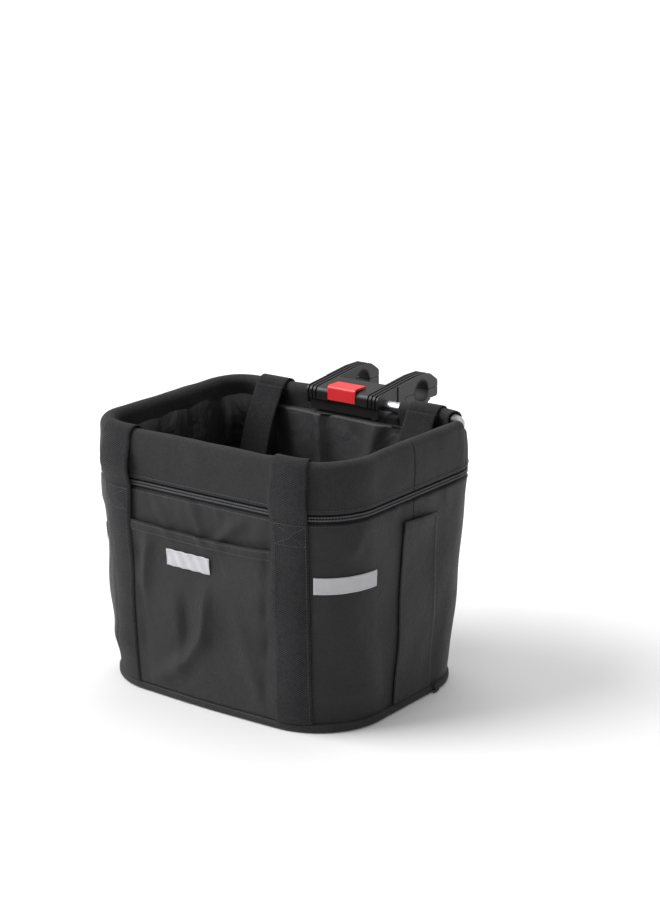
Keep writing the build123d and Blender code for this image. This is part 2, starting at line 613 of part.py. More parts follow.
def inner_layer(inset, thick, top, bottom):
    """Layer inside the wall, parallel to the lining, cut to a range of heights."""
    layer = wall_layer(-WALL_CLOTH - 2 * CLOTH_GAP - inset, thick, LINING_TOP,
                       LINING_OUT + WALL_CLOTH + 2 * CLOTH_GAP)
    if bottom > WALL_BOTTOM:
        layer = layer & block(-BIG, BIG, -BIG, BIG, bottom, top)
    return layer


# Both the collar and the lining stop short of the release head at the back.
lining = inner_layer(0, LINING_CLOTH, LINING_TOP, WALL_BOTTOM)
save(lining - block(-SLEEVE_START, SLEEVE_START, RIM_Y - 20, BIG, HEAD_RELIEF, BIG), "lining")
cover = inner_layer(LINING_CLOTH + CLOTH_GAP, COVER_THICK, LINING_TOP - 1, LINING_TOP - COVER_DEPTH)
cover = cover - block(-SLEEVE_STOP, SLEEVE_STOP, RIM_Y - 20, BIG, -BIG, BIG)
save(cover, "tucked_cover")

# The back panel leans with the rear wall.
PAD_FACE = LINING_OUT - LINING_CLOTH - CLOTH_GAP
PAD_FOOT = -BASE_WALL_IN - WALL_CLOTH - 2 * CLOTH_GAP - LINING_CLOTH - CLOTH_GAP
REAR_TOP_Y = RIM_Y + PAD_FACE
REAR_FOOT_Y = BASE_Y + PAD_FOOT
LEAN = (REAR_FOOT_Y - REAR_TOP_Y) / (WALL_BOTTOM - LINING_TOP)


def rear_face(z):
    """Y of the lining's inner face on the rear wall at height z."""
    return REAR_TOP_Y + LEAN * (z - LINING_TOP)


PAD_TOP = HEAD_RELIEF - BACK_PAD_TOP_GAP
PAD_BOTTOM = WALL_BOTTOM + BACK_PAD_FOOT_GAP
pad = slab([
    (rear_face(PAD_TOP), PAD_TOP),
    (rear_face(PAD_TOP) - BACK_PAD_THICK, PAD_TOP),
    (rear_face(PAD_BOTTOM) - BACK_PAD_THICK, PAD_BOTTOM),
    (rear_face(PAD_BOTTOM), PAD_BOTTOM),
], -BACK_PAD_WIDTH / 2, BACK_PAD_WIDTH / 2)
save(pad, "back_pad")

# Zip slider on the left side, with a pull that hangs from a small bail.
SLIDER_X = -(HALF_RIM + COLLAR_OUT + COLLAR_FLARE + CLOTH_GAP)
SLIDER_Y = SIDE_START - SLIDER_FROM_CORNER
SLIDER_FACE = SLIDER_X - SLIDER_THICK
PIN_R = PIN_DIA / 2
EYE_R = PIN_R + PIVOT_FIT + EYE_WALL
PIN_X = SLIDER_FACE - EYE_R - SLIDE_FIT
CHEEK = 1.6
CHEEK_Y = PULL_WIDTH / 2 + 0.4 + CHEEK / 2
slider = block(SLIDER_FACE, SLIDER_X, SLIDER_Y - SLIDER_LENGTH / 2, SLIDER_Y + SLIDER_LENGTH / 2,
               ZIP_MIDDLE - SLIDER_HEIGHT / 2, ZIP_MIDDLE + SLIDER_HEIGHT / 2)
for side in (-1, 1):
    y = SLIDER_Y + side * CHEEK_Y
    slider = slider + block(PIN_X - PIN_R - 0.5, SLIDER_FACE + 0.5, y - CHEEK / 2, y + CHEEK / 2,
                            ZIP_MIDDLE - CHEEK, ZIP_MIDDLE + CHEEK)


def on_pin(radius, length):
    """Cylinder along the pin on which the pull swings."""
    return Pos(PIN_X, SLIDER_Y, ZIP_MIDDLE) * Rot(90, 0, 0) * Cylinder(radius, length)


save(slider + on_pin(PIN_R, 2 * CHEEK_Y), "zip_slider")
HALF_PULL = PULL_WIDTH / 2
pull = block(PIN_X - PULL_THICK / 2, PIN_X + PULL_THICK / 2, SLIDER_Y - HALF_PULL, SLIDER_Y + HALF_PULL,
             ZIP_MIDDLE - PULL_LENGTH, ZIP_MIDDLE - PIN_R)
eye = on_pin(EYE_R, PULL_WIDTH)
bore = on_pin(PIN_R + PIVOT_FIT, PULL_WIDTH + 1)
save(pull + eye - bore, "zip_pull")

# ---------------------------------------------------------------- base
BINDING_IN = BINDING_THICK + CLOTH_GAP
binding_hole = plate(BASE_Z - 1, BASE_Z + BINDING_HEIGHT + 1, -BINDING_THICK)
binding = plate(BASE_Z, BASE_Z + BINDING_HEIGHT, 0) - binding_hole
save(binding, "base_binding")
save(plate(BASE_Z, BASE_Z + BASE_PANEL_THICK, -BINDING_IN), "base_panel")
BOARD_Z = BASE_Z + BASE_PANEL_THICK + CLOTH_GAP
save(plate(BOARD_Z, BOARD_Z + BASE_BOARD_THICK, -BOARD_INSET), "base_board")
TAB_X = BASE_WIDTH / 2 + 0.1
TAB_Y = BASE_Y - BASE_DEPTH / 2 + 48.0
save(block(TAB_X, TAB_X + 3.0, TAB_Y, TAB_Y + 7, BASE_Z + 0.2, BASE_Z + BINDING_HEIGHT - 1.5), "binding_end")

# ------------------------------------------- pockets, strips and straps
POCKET_TOP = COLLAR_BOTTOM - POCKET_DROP
patch = wall_layer(CLOTH_GAP + PATCH_CLOTH, PATCH_CLOTH)
half = POCKET_WIDTH / 2
save(patch & block(-half, half, -BIG, RIM_FRONT_Y + 30, WALL_BOTTOM, POCKET_TOP), "front_pocket")

SIDE_TOP = COLLAR_BOTTOM - SIDE_POCKET_DROP
SIDE_REAR_Y = RIM_Y - SIDE_POCKET_REAR
SIDE_FRONT_Y = SIDE_REAR_Y - SIDE_POCKET_WIDTH
side_cut = slab([
    (SIDE_FRONT_Y, SIDE_TOP + 1.5),
    (SIDE_REAR_Y, SIDE_TOP - 1.5),
    (SIDE_REAR_Y - 4, WALL_BOTTOM),
    (SIDE_FRONT_Y - SIDE_POCKET_SPREAD, WALL_BOTTOM),
], HALF_RIM - 40, BIG)
side_pocket = patch & side_cut
save(side_pocket, "side_pocket_right")
save(mirrored(side_pocket), "side_pocket_left")

STRIP_TOP = COLLAR_BOTTOM - STRIP_DROP
on_pocket = wall_layer(2 * CLOTH_GAP + PATCH_CLOTH + STRIP_THICK, STRIP_THICK)
save(on_pocket & block(FRONT_STRIP_LEFT, FRONT_STRIP_LEFT + FRONT_STRIP_LENGTH, -BIG,
                       RIM_FRONT_Y + 30, STRIP_TOP - STRIP_HEIGHT, STRIP_TOP), "reflector_front")
on_wall = wall_layer(CLOTH_GAP + STRIP_THICK, STRIP_THICK)
side_strip = on_wall & block(SIDE_STRIP_FROM, BIG, -BIG, RIM_Y - SIDE_STRIP_REACH,
                             STRIP_TOP - STRIP_HEIGHT, STRIP_TOP)
save(side_strip, "reflector_right")
save(mirrored(side_strip), "reflector_left")

# Webbing straps: sewn down the wall, loose over the collar and folded over the rim.
web = wall_layer(CLOTH_GAP + WEB_THICK, WEB_THICK)
loose = band(RIM_Z, WALL_TOP, WRAP_OUT, CLOTH_GAP + WALL_OUT + COLLAR_FLARE + WEB_THICK, WEB_THICK)
over_front = along(sleeve_path, WRAP_OUT, WRAP_IN)
over_rear = rod_x(WRAP_OUT, 0, HALF_RIM, RIM_Y, RIM_Z) - rod_x(WRAP_IN, -1, HALF_RIM + 1, RIM_Y, RIM_Z)
HALF_WEB = WEB_WIDTH / 2


def strap(spacing, y0, y1, over):
    x0 = spacing / 2 - HALF_WEB
    x1 = spacing / 2 + HALF_WEB
    sewn = web & block(x0, x1, y0, y1, WALL_BOTTOM, WALL_TOP)
    free = loose & block(x0, x1, y0, y1, WALL_TOP, RIM_Z)
    fold = over & block(x0, x1, y0 - 20, y1 + 20, RIM_Z, BIG)
    return sewn + free + fold


front_strap = strap(FRONT_STRAP_SPACING, -BIG, RIM_FRONT_Y + 25, over_front)
save(front_strap, "front_strap_right")
save(mirrored(front_strap), "front_strap_left")
rear_strap = strap(REAR_STRAP_SPACING, RIM_Y - 20, BIG, over_rear)
save(rear_strap, "rear_strap_right")
save(mirrored(rear_strap), "rear_strap_left")


def leg_offset(spacing, corner_radius):
    """How far inside the rim a leg hangs to clear the fold where the rim curves back."""
    past = spacing / 2 + HALF_WEB - (HALF_RIM - corner_radius)
    turn = math.asin(max(past, 0) / corner_radius)
    return corner_radius * (1 - math.cos(turn)) + WRAP_OUT / math.cos(turn) + CLOTH_GAP


def handle(spacing, rim_y, inward, corner_radius):
    """Loop hanging inside the basket: two legs and a grip, all of webbing."""
    near = rim_y + inward * leg_offset(spacing, corner_radius)
    far = near + inward * WEB_THICK
    low = RIM_Z - HANDLE_DROP
    outer = spacing / 2 + HALF_WEB
    y0, y1 = min(near, far), max(near, far)
    loop = block(-outer, -outer + WEB_WIDTH, y0, y1, low, RIM_Z)
    loop = loop + block(outer - WEB_WIDTH, outer, y0, y1, low, RIM_Z)
    reach = near + inward * WEB_WIDTH
    return loop + block(-outer, outer, min(near, reach), max(near, reach), low - WEB_THICK, low)


save(handle(FRONT_STRAP_SPACING, RIM_FRONT_Y, 1, RIM_FRONT_RADIUS), "front_handle")
rear_handle = handle(REAR_STRAP_SPACING, RIM_Y, -1, RIM_REAR_RADIUS)
rear_axis = Axis((0, RIM_Y, RIM_Z), (1, 0, 0))
save(rear_handle.rotate(rear_axis, -REAR_HANDLE_LEAN), "rear_handle")
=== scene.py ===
import math

import bpy
import numpy as np
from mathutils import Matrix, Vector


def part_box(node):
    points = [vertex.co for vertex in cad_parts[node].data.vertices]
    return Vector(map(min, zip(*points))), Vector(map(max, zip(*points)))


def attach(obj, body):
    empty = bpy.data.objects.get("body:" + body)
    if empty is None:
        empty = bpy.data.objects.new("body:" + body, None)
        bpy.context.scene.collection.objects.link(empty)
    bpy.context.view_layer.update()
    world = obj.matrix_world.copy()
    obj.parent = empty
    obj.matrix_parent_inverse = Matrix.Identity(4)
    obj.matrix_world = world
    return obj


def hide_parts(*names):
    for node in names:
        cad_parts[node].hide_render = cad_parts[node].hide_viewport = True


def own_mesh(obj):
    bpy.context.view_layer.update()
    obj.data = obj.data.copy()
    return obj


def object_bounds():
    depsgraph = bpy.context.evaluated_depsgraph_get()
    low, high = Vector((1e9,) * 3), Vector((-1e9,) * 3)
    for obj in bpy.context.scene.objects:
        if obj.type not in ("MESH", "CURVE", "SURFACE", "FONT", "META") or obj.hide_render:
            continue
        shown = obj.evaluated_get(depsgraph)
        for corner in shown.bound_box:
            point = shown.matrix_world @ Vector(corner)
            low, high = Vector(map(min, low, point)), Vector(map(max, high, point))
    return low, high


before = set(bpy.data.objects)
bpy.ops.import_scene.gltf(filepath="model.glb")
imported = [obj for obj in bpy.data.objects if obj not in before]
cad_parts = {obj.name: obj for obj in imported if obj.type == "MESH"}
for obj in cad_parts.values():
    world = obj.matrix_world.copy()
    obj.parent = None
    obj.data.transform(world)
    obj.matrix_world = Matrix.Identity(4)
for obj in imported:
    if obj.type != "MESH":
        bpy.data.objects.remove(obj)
CAD_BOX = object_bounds()

# ---------------------------------------- bracket, release head and latch
# The bracket arms, socket, clamp caps and release head are injection moulded in glass-filled
# nylon: satin black, with a spark-eroded grain. The button is red ABS, the shims are rubber.


def linear(colour):
    """Hex sRGB string to a linear RGBA tuple."""
    parts = [int(colour[i:i + 2], 16) / 255 for i in (1, 3, 5)]
    return tuple(c / 12.92 if c <= 0.04045 else ((c + 0.055) / 1.055) ** 2.4 for c in parts) + (1.0,)


def new_material(name):
    """Material with its own nodes; returns it and its shader."""
    material = bpy.data.materials.new(name)
    material.use_nodes = True
    return material, material.node_tree.nodes["Principled BSDF"]


def add(material, kind, values=(), links=(), **settings):
    """Adds one node: settings are its properties, values its inputs, links pair inputs with sockets."""
    node = material.node_tree.nodes.new(kind)
    for key, value in settings.items():
        setattr(node, key, value)
    for key, value in dict(values).items():
        node.inputs[key].default_value = value
    for key, socket in dict(links).items():
        material.node_tree.links.new(socket, node.inputs[key])
    return node


def feed(material, shader, name, socket):
    """Links a socket to one of the shader's inputs."""
    material.node_tree.links.new(socket, shader.inputs[name])


def placed(name, data):
    """Object with this data, linked to the scene."""
    item = bpy.data.objects.new(name, data)
    bpy.context.scene.collection.objects.link(item)
    return item


def belongs(piece, body, slot, *nodes):
    """The piece rides on a body, in place of these CAD nodes; slot is not used."""
    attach(piece, body)
    if nodes:
        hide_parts(*nodes)


def paint(material, *names):
    """Gives CAD nodes this material."""
    for name in names:
        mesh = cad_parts[name].data
        mesh.materials.clear()
        mesh.materials.append(material)


# Spark erosion leaves a pebble grain of about 0.3 mm; drawn at 0.6 mm so that it shows.
GRAIN_PITCH = 0.0006


def moulded(name, colour, worn, rough, grain):
    """Pebble grain over the whole face, paler and smoother where hands have rubbed it."""
    material, shader = new_material(name)
    place = add(material, "ShaderNodeTexCoord").outputs["Object"]
    pebble = add(material, "ShaderNodeTexVoronoi", {"Scale": 1 / GRAIN_PITCH}, {"Vector": place})
    rub = add(material, "ShaderNodeTexNoise", {"Scale": 38.0, "Detail": 3.0}, {"Vector": place})
    tone = add(material, "ShaderNodeMix", {6: linear(colour), 7: linear(worn)},
               {0: rub.outputs["Fac"]}, data_type="RGBA")
    feed(material, shader, "Base Color", tone.outputs[2])
    gloss = add(material, "ShaderNodeMapRange", {"To Min": rough + 0.1, "To Max": rough - 0.07},
                {"Value": rub.outputs["Fac"]})
    feed(material, shader, "Roughness", gloss.outputs["Result"])
    bump = add(material, "ShaderNodeBump", {"Strength": grain, "Distance": 0.0001},
               {"Height": pebble.outputs["Distance"]})
    feed(material, shader, "Normal", bump.outputs["Normal"])
    return material


paint(moulded("glass_filled_nylon", "#121213", "#1f1f21", 0.42, 0.35),
      "bracket_arm_left", "bracket_arm_right", "bracket_socket", "clamp_cap_left",
      "clamp_cap_right", "head_upper", "head_lower", "latch_slide")
paint(moulded("red_abs", "#e8262c", "#f23a3e", 0.38, 0.12), "release_button")
paint(moulded("moulded_rubber", "#131313", "#1c1c1c", 0.68, 0.3), "rubber_shim_left", "rubber_shim_right")


def metal(name, colour, rough, drawn):
    """Bare or plated metal: fine drawing lines stretched along X by the factor drawn, in its gloss."""
    material, shader = new_material(name)
    place = add(material, "ShaderNodeTexCoord").outputs["Object"]
    lay = add(material, "ShaderNodeMapping", {"Scale": (1 / drawn, 1.0, 1.0)}, {"Vector": place})
    lines = add(material, "ShaderNodeTexNoise", {"Scale": 900.0, "Detail": 3.0},
                {"Vector": lay.outputs["Vector"]})
    gloss = add(material, "ShaderNodeMapRange", {"To Min": rough - 0.08, "To Max": rough + 0.12},
                {"Value": lines.outputs["Fac"]})
    feed(material, shader, "Roughness", gloss.outputs["Result"])
    shader.inputs["Base Color"].default_value = linear(colour)
    shader.inputs["Metallic"].default_value = 1.0
    return material


paint(metal("zinc_plated_steel", "#a2a2a6", 0.3, 1.0),
      "clamp_bolts", "clamp_nuts", "head_screws", "button_springs", "keeper_spring")

# ---------------------------------------- rim tube
# A bent tube of drawn aluminium with its ends joined by a plug. It is bare where it passes
# through the release head and round the right rear corner.
paint(metal("drawn_aluminium", "#dcdde0", 0.28, 30.0), "rim_tube", "tube_joiner")

# ---------------------------------------- collar
# A band of polyester that is sewn into a tunnel round the rim tube and hangs 44 mm down to the
# zip. It is cut away behind the release head and at the bare right rear corner of the tube.
LOW, HIGH = 0, 1
tube_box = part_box("rim_tube")
collar_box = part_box("collar")
base_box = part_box("base_binding")
wall_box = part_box("wall_fabric")
TUBE_R = (tube_box[HIGH][2] - tube_box[LOW][2]) / 2
RIM_Z = tube_box[HIGH][2] - TUBE_R
RIM_HALF = tube_box[HIGH][0] - TUBE_R
RIM_REAR = tube_box[HIGH][1] - TUBE_R
RIM_BOW = 0.0009
RIM_FRONT = tube_box[LOW][1] + TUBE_R + RIM_BOW
RIM_CORNERS = (0.042, 0.057)
TUNNEL_R = 0.0086
COLLAR_OUT = collar_box[HIGH][0] - RIM_HALF
COLLAR_LOW = collar_box[LOW][2]
COLLAR_CLOTH = 0.0013
BARE_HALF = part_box("rim_sleeve_rear_right")[LOW][0]
CORNER_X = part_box("rim_sleeve_rear_right")[HIGH][0]
REAR, REAR_RIGHT, RIGHT, FRONT_RIGHT, FRONT, FRONT_LEFT, LEFT, REAR_LEFT, ROUND = range(9)


def smooth(t):
    """Eases from 0 to 1 with level ends: 3 t^2 - 2 t^3."""
    return t * t * (3 - 2 * t)


def lengths(line):
    """Distance along a line of points from its first one to each."""
    return np.concatenate([[0], np.cumsum(np.linalg.norm(np.diff(line, axis=0), axis=1))])


def outline(u, grow, half, rear, front, corners, bow):
    """Points and outward normals of a rounded rectangle with a bowed front, grow outside its line.

    u counts its pieces clockwise from above, straights and corners in turn, from the rear edge's
    left end. A straight is a linear blend of its ends; a corner is an arc, angle = start - 90 f.
    The front is pushed out by bow (1 - |x / half| ^ 1.4).
    """
    u, grow = np.broadcast_arrays(np.mod(np.asarray(u, float), ROUND), np.asarray(grow, float))
    piece = np.floor(u)
    f = u - piece
    rr, rf = corners[0] + grow, corners[1] + grow
    hw, yb, yf = half + grow, rear + grow, front - grow
    ends = [(-hw + rr, yb, hw - rr, yb), (hw, yb - rr, hw, yf + rf),
            (hw - rf, yf, -hw + rf, yf), (-hw, yf + rf, -hw, yb - rr)]
    arcs = [(hw - rr, yb - rr, rr), (hw - rf, yf + rf, rf), (-hw + rf, yf + rf, rf), (-hw + rr, yb - rr, rr)]
    x, y, angle = np.zeros_like(f), np.zeros_like(f), np.zeros_like(f)
    for i in range(4):
        x0, y0, x1, y1 = ends[i]
        cx, cy, radius = arcs[i]
        turn = 90.0 - 90.0 * i - 90.0 * f
        straight, arc = piece == 2 * i, piece == 2 * i + 1
        x = np.where(straight, x0 + (x1 - x0) * f, np.where(arc, cx + radius * np.cos(np.radians(turn)), x))
        y = np.where(straight, y0 + (y1 - y0) * f, np.where(arc, cy + radius * np.sin(np.radians(turn)), y))
        angle = np.where(straight, 90.0 - 90.0 * i, np.where(arc, turn, angle))
    normal = np.stack([np.cos(np.radians(angle)), np.sin(np.radians(angle))], -1)
    y = y - bow * np.clip(1 - np.abs(x / hw) ** 1.4, 0, 1) * np.clip(-normal[..., 1], 0, 1)
    return np.stack([x, y], -1), normal


def rim_at(u, grow):
    return outline(u, grow, RIM_HALF, RIM_REAR, RIM_FRONT, RIM_CORNERS, RIM_BOW)


def rim_point(u, grow, z):
    """Point at height z, grow outside the tube's centre line."""
    flat, _ = rim_at(u, grow)
    return np.concatenate([flat, np.broadcast_to(z, flat.shape[:-1])[..., None]], -1)


DENSE = np.linspace(0, ROUND, 1601)
dense_run = lengths(rim_at(DENSE, 0.0)[0])
PERIMETER = dense_run[-1]


def run_at(u):
    """Distance along the rim from the start of the rear edge to u."""
    return np.interp(np.mod(u, ROUND), DENSE, dense_run) + np.floor(np.asarray(u) / ROUND) * PERIMETER


def u_at(run):
    return np.interp(run, dense_run, DENSE)


def even_u(count):
    """u of points evenly spaced all round the rim."""
    return u_at(np.linspace(0, PERIMETER, count, endpoint=False))


def from_middle(run, middle):
    """Signed distance round the rim from middle, the shorter way."""
    return np.mod(run - middle + PERIMETER / 2, PERIMETER) - PERIMETER / 2


def find_u(line, axis, value, first, last):
    """The u between first and last where an outline's x or y has this value."""
    u = np.linspace(first, last, 400)
    along = line(u, 0.0)[0][:, axis]
    order = np.argsort(along)
    return float(np.interp(value, along[order], u[order]))


def ripples(seed, count, low, high, squat=1.0):
    """Soft random relief over (run, height): a sum of cosines of random pitch, heading and phase."""
    rng = np.random.default_rng(seed)
    pitch = np.exp(rng.uniform(math.log(low), math.log(high), count))
    heading = rng.uniform(0, 2 * math.pi, count)
    phase = rng.uniform(0, 2 * math.pi, count)
    across = 2 * math.pi / pitch * np.cos(heading)
    down = 2 * math.pi / pitch * np.sin(heading) / squat
    share = pitch / pitch.sum()

    def height(run, z):
        waves = np.cos(np.asarray(run)[..., None] * across + np.asarray(z)[..., None] * down + phase)
        return waves @ share * 1.6
    return height


def surface(name, points, material, across=None, closed=False, torus=False, thick=0.0, flip=False):
    """Piece from a grid of points (rows, columns, 3), with a UV map in metres over it.

    A closed grid's last column joins its first, and a torus's last row its first as well. thick
    solidifies it towards its inner side.
    """
    rows, columns = points.shape[:2]
    r, c = np.meshgrid(np.arange(rows if torus else rows - 1), np.arange(columns if closed else columns - 1),
                       indexing="ij")
    corners = [(r, c), (r, c + 1), (r + 1, c + 1), (r + 1, c)]
    if flip:
        corners = corners[::-1]
    quads = np.stack([a % rows * columns + b % columns for a, b in corners], -1).reshape(-1, 4)
    ring = np.concatenate([points, points[:, :1]], 1) if closed else points
    ring = np.concatenate([ring, ring[:1]]) if torus else ring
    down = lengths(ring[:, ring.shape[1] // 2])
    if across is None:
        across = lengths(ring[rows // 2])
    flat = np.stack([np.stack([across[b], down[a]], -1) for a, b in corners], 2)
    mesh = bpy.data.meshes.new(name)
    mesh.vertices.add(rows * columns)
    mesh.vertices.foreach_set("co", points.astype(np.float32).ravel())
    mesh.loops.add(quads.size)
    mesh.loops.foreach_set("vertex_index", quads.astype(np.int32).ravel())
    mesh.polygons.add(len(quads))
    mesh.polygons.foreach_set("loop_start", np.arange(0, quads.size, 4, dtype=np.int32))
    mesh.polygons.foreach_set("use_smooth", np.ones(len(quads), bool))
    mesh.update(calc_edges=True)
    mesh.uv_layers.new(name="cloth").data.foreach_set("uv", flat.astype(np.float32).ravel())
    mesh.materials.append(material)
    piece = placed(name, mesh)
    if thick:
        shell = piece.modifiers.new("cloth_thickness", "SOLIDIFY")
        shell.thickness = thick
        shell.offset = -1.0
    return piece


def cloth(name, dark, light, thread, rough, weave,
          gloss=0.3, crease=0.0, fade_by=0.6, rib=1.0, weave_shade=0.4):
    """Plain weave: warp and weft cross as the product of two cosines along the UVs, which are in
    metres. That product is the weave's bump height and also lifts the tone, so the thread crowns are
    painted lighter and the hollows between them darker: painted light and shade in the weave.
    Threads vary in shade at random, broad fading varies the tone and gloss, creases are a soft bump."""
    material, shader = new_material(name)
    uv = add(material, "ShaderNodeUVMap", uv_map="cloth").outputs["UV"]
    split = add(material, "ShaderNodeSeparateXYZ", links={"Vector": uv})
    waves = []
    for axis, pitch in (("X", thread), ("Y", thread * rib)):
        turn = add(material, "ShaderNodeMath", {1: 2 * math.pi / pitch}, {0: split.outputs[axis]},
                   operation="MULTIPLY")
        waves.append(add(material, "ShaderNodeMath", links={0: turn.outputs[0]}, operation="COSINE"))
    cross = add(material, "ShaderNodeMath", links={0: waves[0].outputs[0], 1: waves[1].outputs[0]},
                operation="MULTIPLY")
    place = add(material, "ShaderNodeTexCoord").outputs["Object"]
    slub = add(material, "ShaderNodeTexNoise", {"Scale": 300.0, "Detail": 3.0}, {"Vector": place})
    fade = add(material, "ShaderNodeTexNoise", {"Scale": 14.0, "Detail": 4.0, "Roughness": 0.6},
               {"Vector": place})
    # Painted light and shade: the tone follows the weave's bump height, lighter on the thread crowns and
    # darker in the hollows between them.
    first = add(material, "ShaderNodeMath", {1: weave_shade, 2: -0.15}, {0: cross.outputs[0]},
                operation="MULTIPLY_ADD")
    second = add(material, "ShaderNodeMath", {1: 0.9}, {0: slub.outputs["Fac"], 2: first.outputs[0]},
                 operation="MULTIPLY_ADD")
    amount = add(material, "ShaderNodeMath", {1: fade_by}, {0: fade.outputs["Fac"], 2: second.outputs[0]},
                 operation="MULTIPLY_ADD")
    tone = add(material, "ShaderNodeMix", {6: linear(dark), 7: linear(light)},
               {0: amount.outputs[0]}, data_type="RGBA")
    feed(material, shader, "Base Color", tone.outputs[2])
    polish = add(material, "ShaderNodeMapRange", {"To Min": rough - 0.1, "To Max": rough + 0.1},
                 {"Value": fade.outputs["Fac"]})
    feed(material, shader, "Roughness", polish.outputs["Result"])
    bump = add(material, "ShaderNodeBump", {"Strength": weave, "Distance": thread / 6},
               {"Height": cross.outputs[0]})
    if crease:
        fold = add(material, "ShaderNodeTexNoise", {"Scale": 30.0, "Detail": 5.0, "Distortion": 0.8},
                   {"Vector": place})
        bump = add(material, "ShaderNodeBump", {"Strength": crease, "Distance": 0.006},
                   {"Height": fold.outputs["Fac"], "Normal": bump.outputs["Normal"]})
    feed(material, shader, "Normal", bump.outputs["Normal"])
    shader.inputs["Sheen Weight"].default_value = 0.04
    shader.inputs["Sheen Roughness"].default_value = 0.45
    shader.inputs["Specular IOR Level"].default_value = gloss
    return material


# 600 denier threads lie 0.5 mm apart; drawn 2.4 mm apart so that the weave shows.
POLYESTER_THREAD = 0.0024
collar_polyester = cloth("collar_600d_polyester", "#070708", "#28282a", POLYESTER_THREAD, 0.6, 0.8,
                         gloss=0.26, crease=0.25)
collar_relief = ripples(3, 20, 0.03, 0.11)
HEM_DROP = 0.019
LOW_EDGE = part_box("head_lower")[LOW][2] - 0.0022
HEAD_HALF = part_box("head_upper")[HIGH][0]
TUBE_EDGE = RIM_Z - TUBE_R - 0.0012


def collar_profile(top):
    """Outer face, rounded top and inner hem as (grow, height) pairs; top is the top edge's height.

    Above the tube it is an arc round the tube; where the cloth is cut away it is a flat fold.
    """
    wraps = top > RIM_Z
    radius = TUNNEL_R if wraps else 0.003
    crown = RIM_Z if wraps else top - radius
    rise = np.linspace(0, 1, 22)[:-1]
    outer_n = COLLAR_OUT + 0.0006 * np.sin(np.pi * rise) - (COLLAR_OUT - TUNNEL_R) * rise ** 3
    outer_z = COLLAR_LOW + (crown - COLLAR_LOW) * rise
    if wraps:
        turn = np.linspace(0, math.pi, 17)
        arc_n, arc_z = radius * np.cos(turn), crown + radius * np.sin(turn)
    else:
        turn = np.linspace(0, math.pi / 2, 6)
        arc_n = np.concatenate([TUNNEL_R - radius + radius * np.cos(turn), [0.0],
                                -TUNNEL_R + radius - radius * np.cos(turn[::-1])])
        arc_z = np.concatenate([crown + radius * np.sin(turn), [top], crown + radius * np.sin(turn[::-1])])
    drop = np.linspace(0, 1, 9)[1:]
    inner_n = -TUNNEL_R + 0.0022 * drop
    inner_z = crown - HEM_DROP * drop * (1 if wraps else 0.55)
    return np.concatenate([outer_n, arc_n, inner_n]), np.concatenate([outer_z, arc_z, inner_z])


def collar_swell(u, grow, z):
    """Padding and slack: the outer face swells a little, and the top edge is never quite level."""
    held = np.sin(np.pi * np.clip((z - COLLAR_LOW) / (RIM_Z - COLLAR_LOW + 0.02), 0, 1))
    return 0.0022 * collar_relief(run_at(u), z) * held * np.where(grow > 0, 1.0, 0.5)


def under_head(x):
    """Height of the cloth's cut edge: low below the release head, up under the tube beside it."""
    beside = np.clip((np.abs(x) - HEAD_HALF - 0.001) / 0.004, 0, 1)
    return LOW_EDGE + (TUBE_EDGE - LOW_EDGE) * smooth(beside)


u_bare = [find_u(rim_at, 0, x, REAR, REAR_RIGHT) for x in (-HEAD_HALF - 0.004, BARE_HALF)]
u_corner = (REAR_RIGHT + 0.30, REAR_RIGHT + 0.86)
WRAPPED = RIM_Z + TUNNEL_R
# The collar and the walls are closed by an upright seam on each side.
SEAM_WIDTH = 0.0011
SEAM_Y = -0.197
u_seams = [find_u(rim_at, 1, SEAM_Y, RIGHT, FRONT_RIGHT), find_u(rim_at, 1, SEAM_Y, LEFT, REAR_LEFT)]
seam_runs = np.concatenate([np.linspace(-0.0033, 0.0033, 9) + run_at(u) for u in u_seams])


def seam_dip(u):
    """Depth of the two upright seams, a bell curve across each."""
    return 0.0011 * sum(np.exp(-((run_at(u) - run_at(seam)) / SEAM_WIDTH) ** 2) for seam in u_seams)


COLLAR_CUTS = [
    ("collar_behind_head", u_bare[0], u_bare[1], TUBE_EDGE),
    ("collar_rear_right", u_bare[1], u_corner[0], WRAPPED),
    ("collar_corner_right", u_corner[0], u_corner[1], TUBE_EDGE),
    ("collar_front_and_left", u_corner[1], ROUND + u_bare[0], WRAPPED),
]
COLLAR_NODES = ("collar", "rim_sleeve_front", "rim_sleeve_rear_left", "rim_sleeve_rear_right")
COLUMN_STEP = 0.003
for name, start, stop, top in COLLAR_CUTS:
    count = max(int((run_at(stop) - run_at(start)) / COLUMN_STEP), 6)
    crossed = seam_runs[(seam_runs > run_at(start)) & (seam_runs < run_at(stop))]
    runs = np.unique(np.concatenate([np.linspace(run_at(start), run_at(stop), count + 1), crossed]))
    u = u_at(np.mod(runs, PERIMETER))
    n, z = collar_profile(top)
    U, N = np.meshgrid(u, n)
    _, Z = np.meshgrid(u, z)
    if name == "collar_behind_head":
        edge = under_head(rim_at(U, 0.0)[0][..., 0])
        Z = COLLAR_LOW + (Z - COLLAR_LOW) * (edge - COLLAR_LOW) / (top - COLLAR_LOW)
    crown_dip = 0.0011 * collar_relief(run_at(U) + 0.4, 0 * Z) * np.clip((Z - RIM_Z + 0.02) / 0.02, 0, 1)
    swell = collar_swell(U, N, Z) * np.sign(N) - seam_dip(U) * (N > 0)
    points = rim_point(U, N + swell, Z + crown_dip * (top > RIM_Z))
    piece = surface(name, points, collar_polyester, across=runs, thick=COLLAR_CLOTH, flip=True)
    nodes = COLLAR_NODES if name == "collar_front_and_left" else ()
    belongs(piece, "basket", "collar_cloth", *nodes)

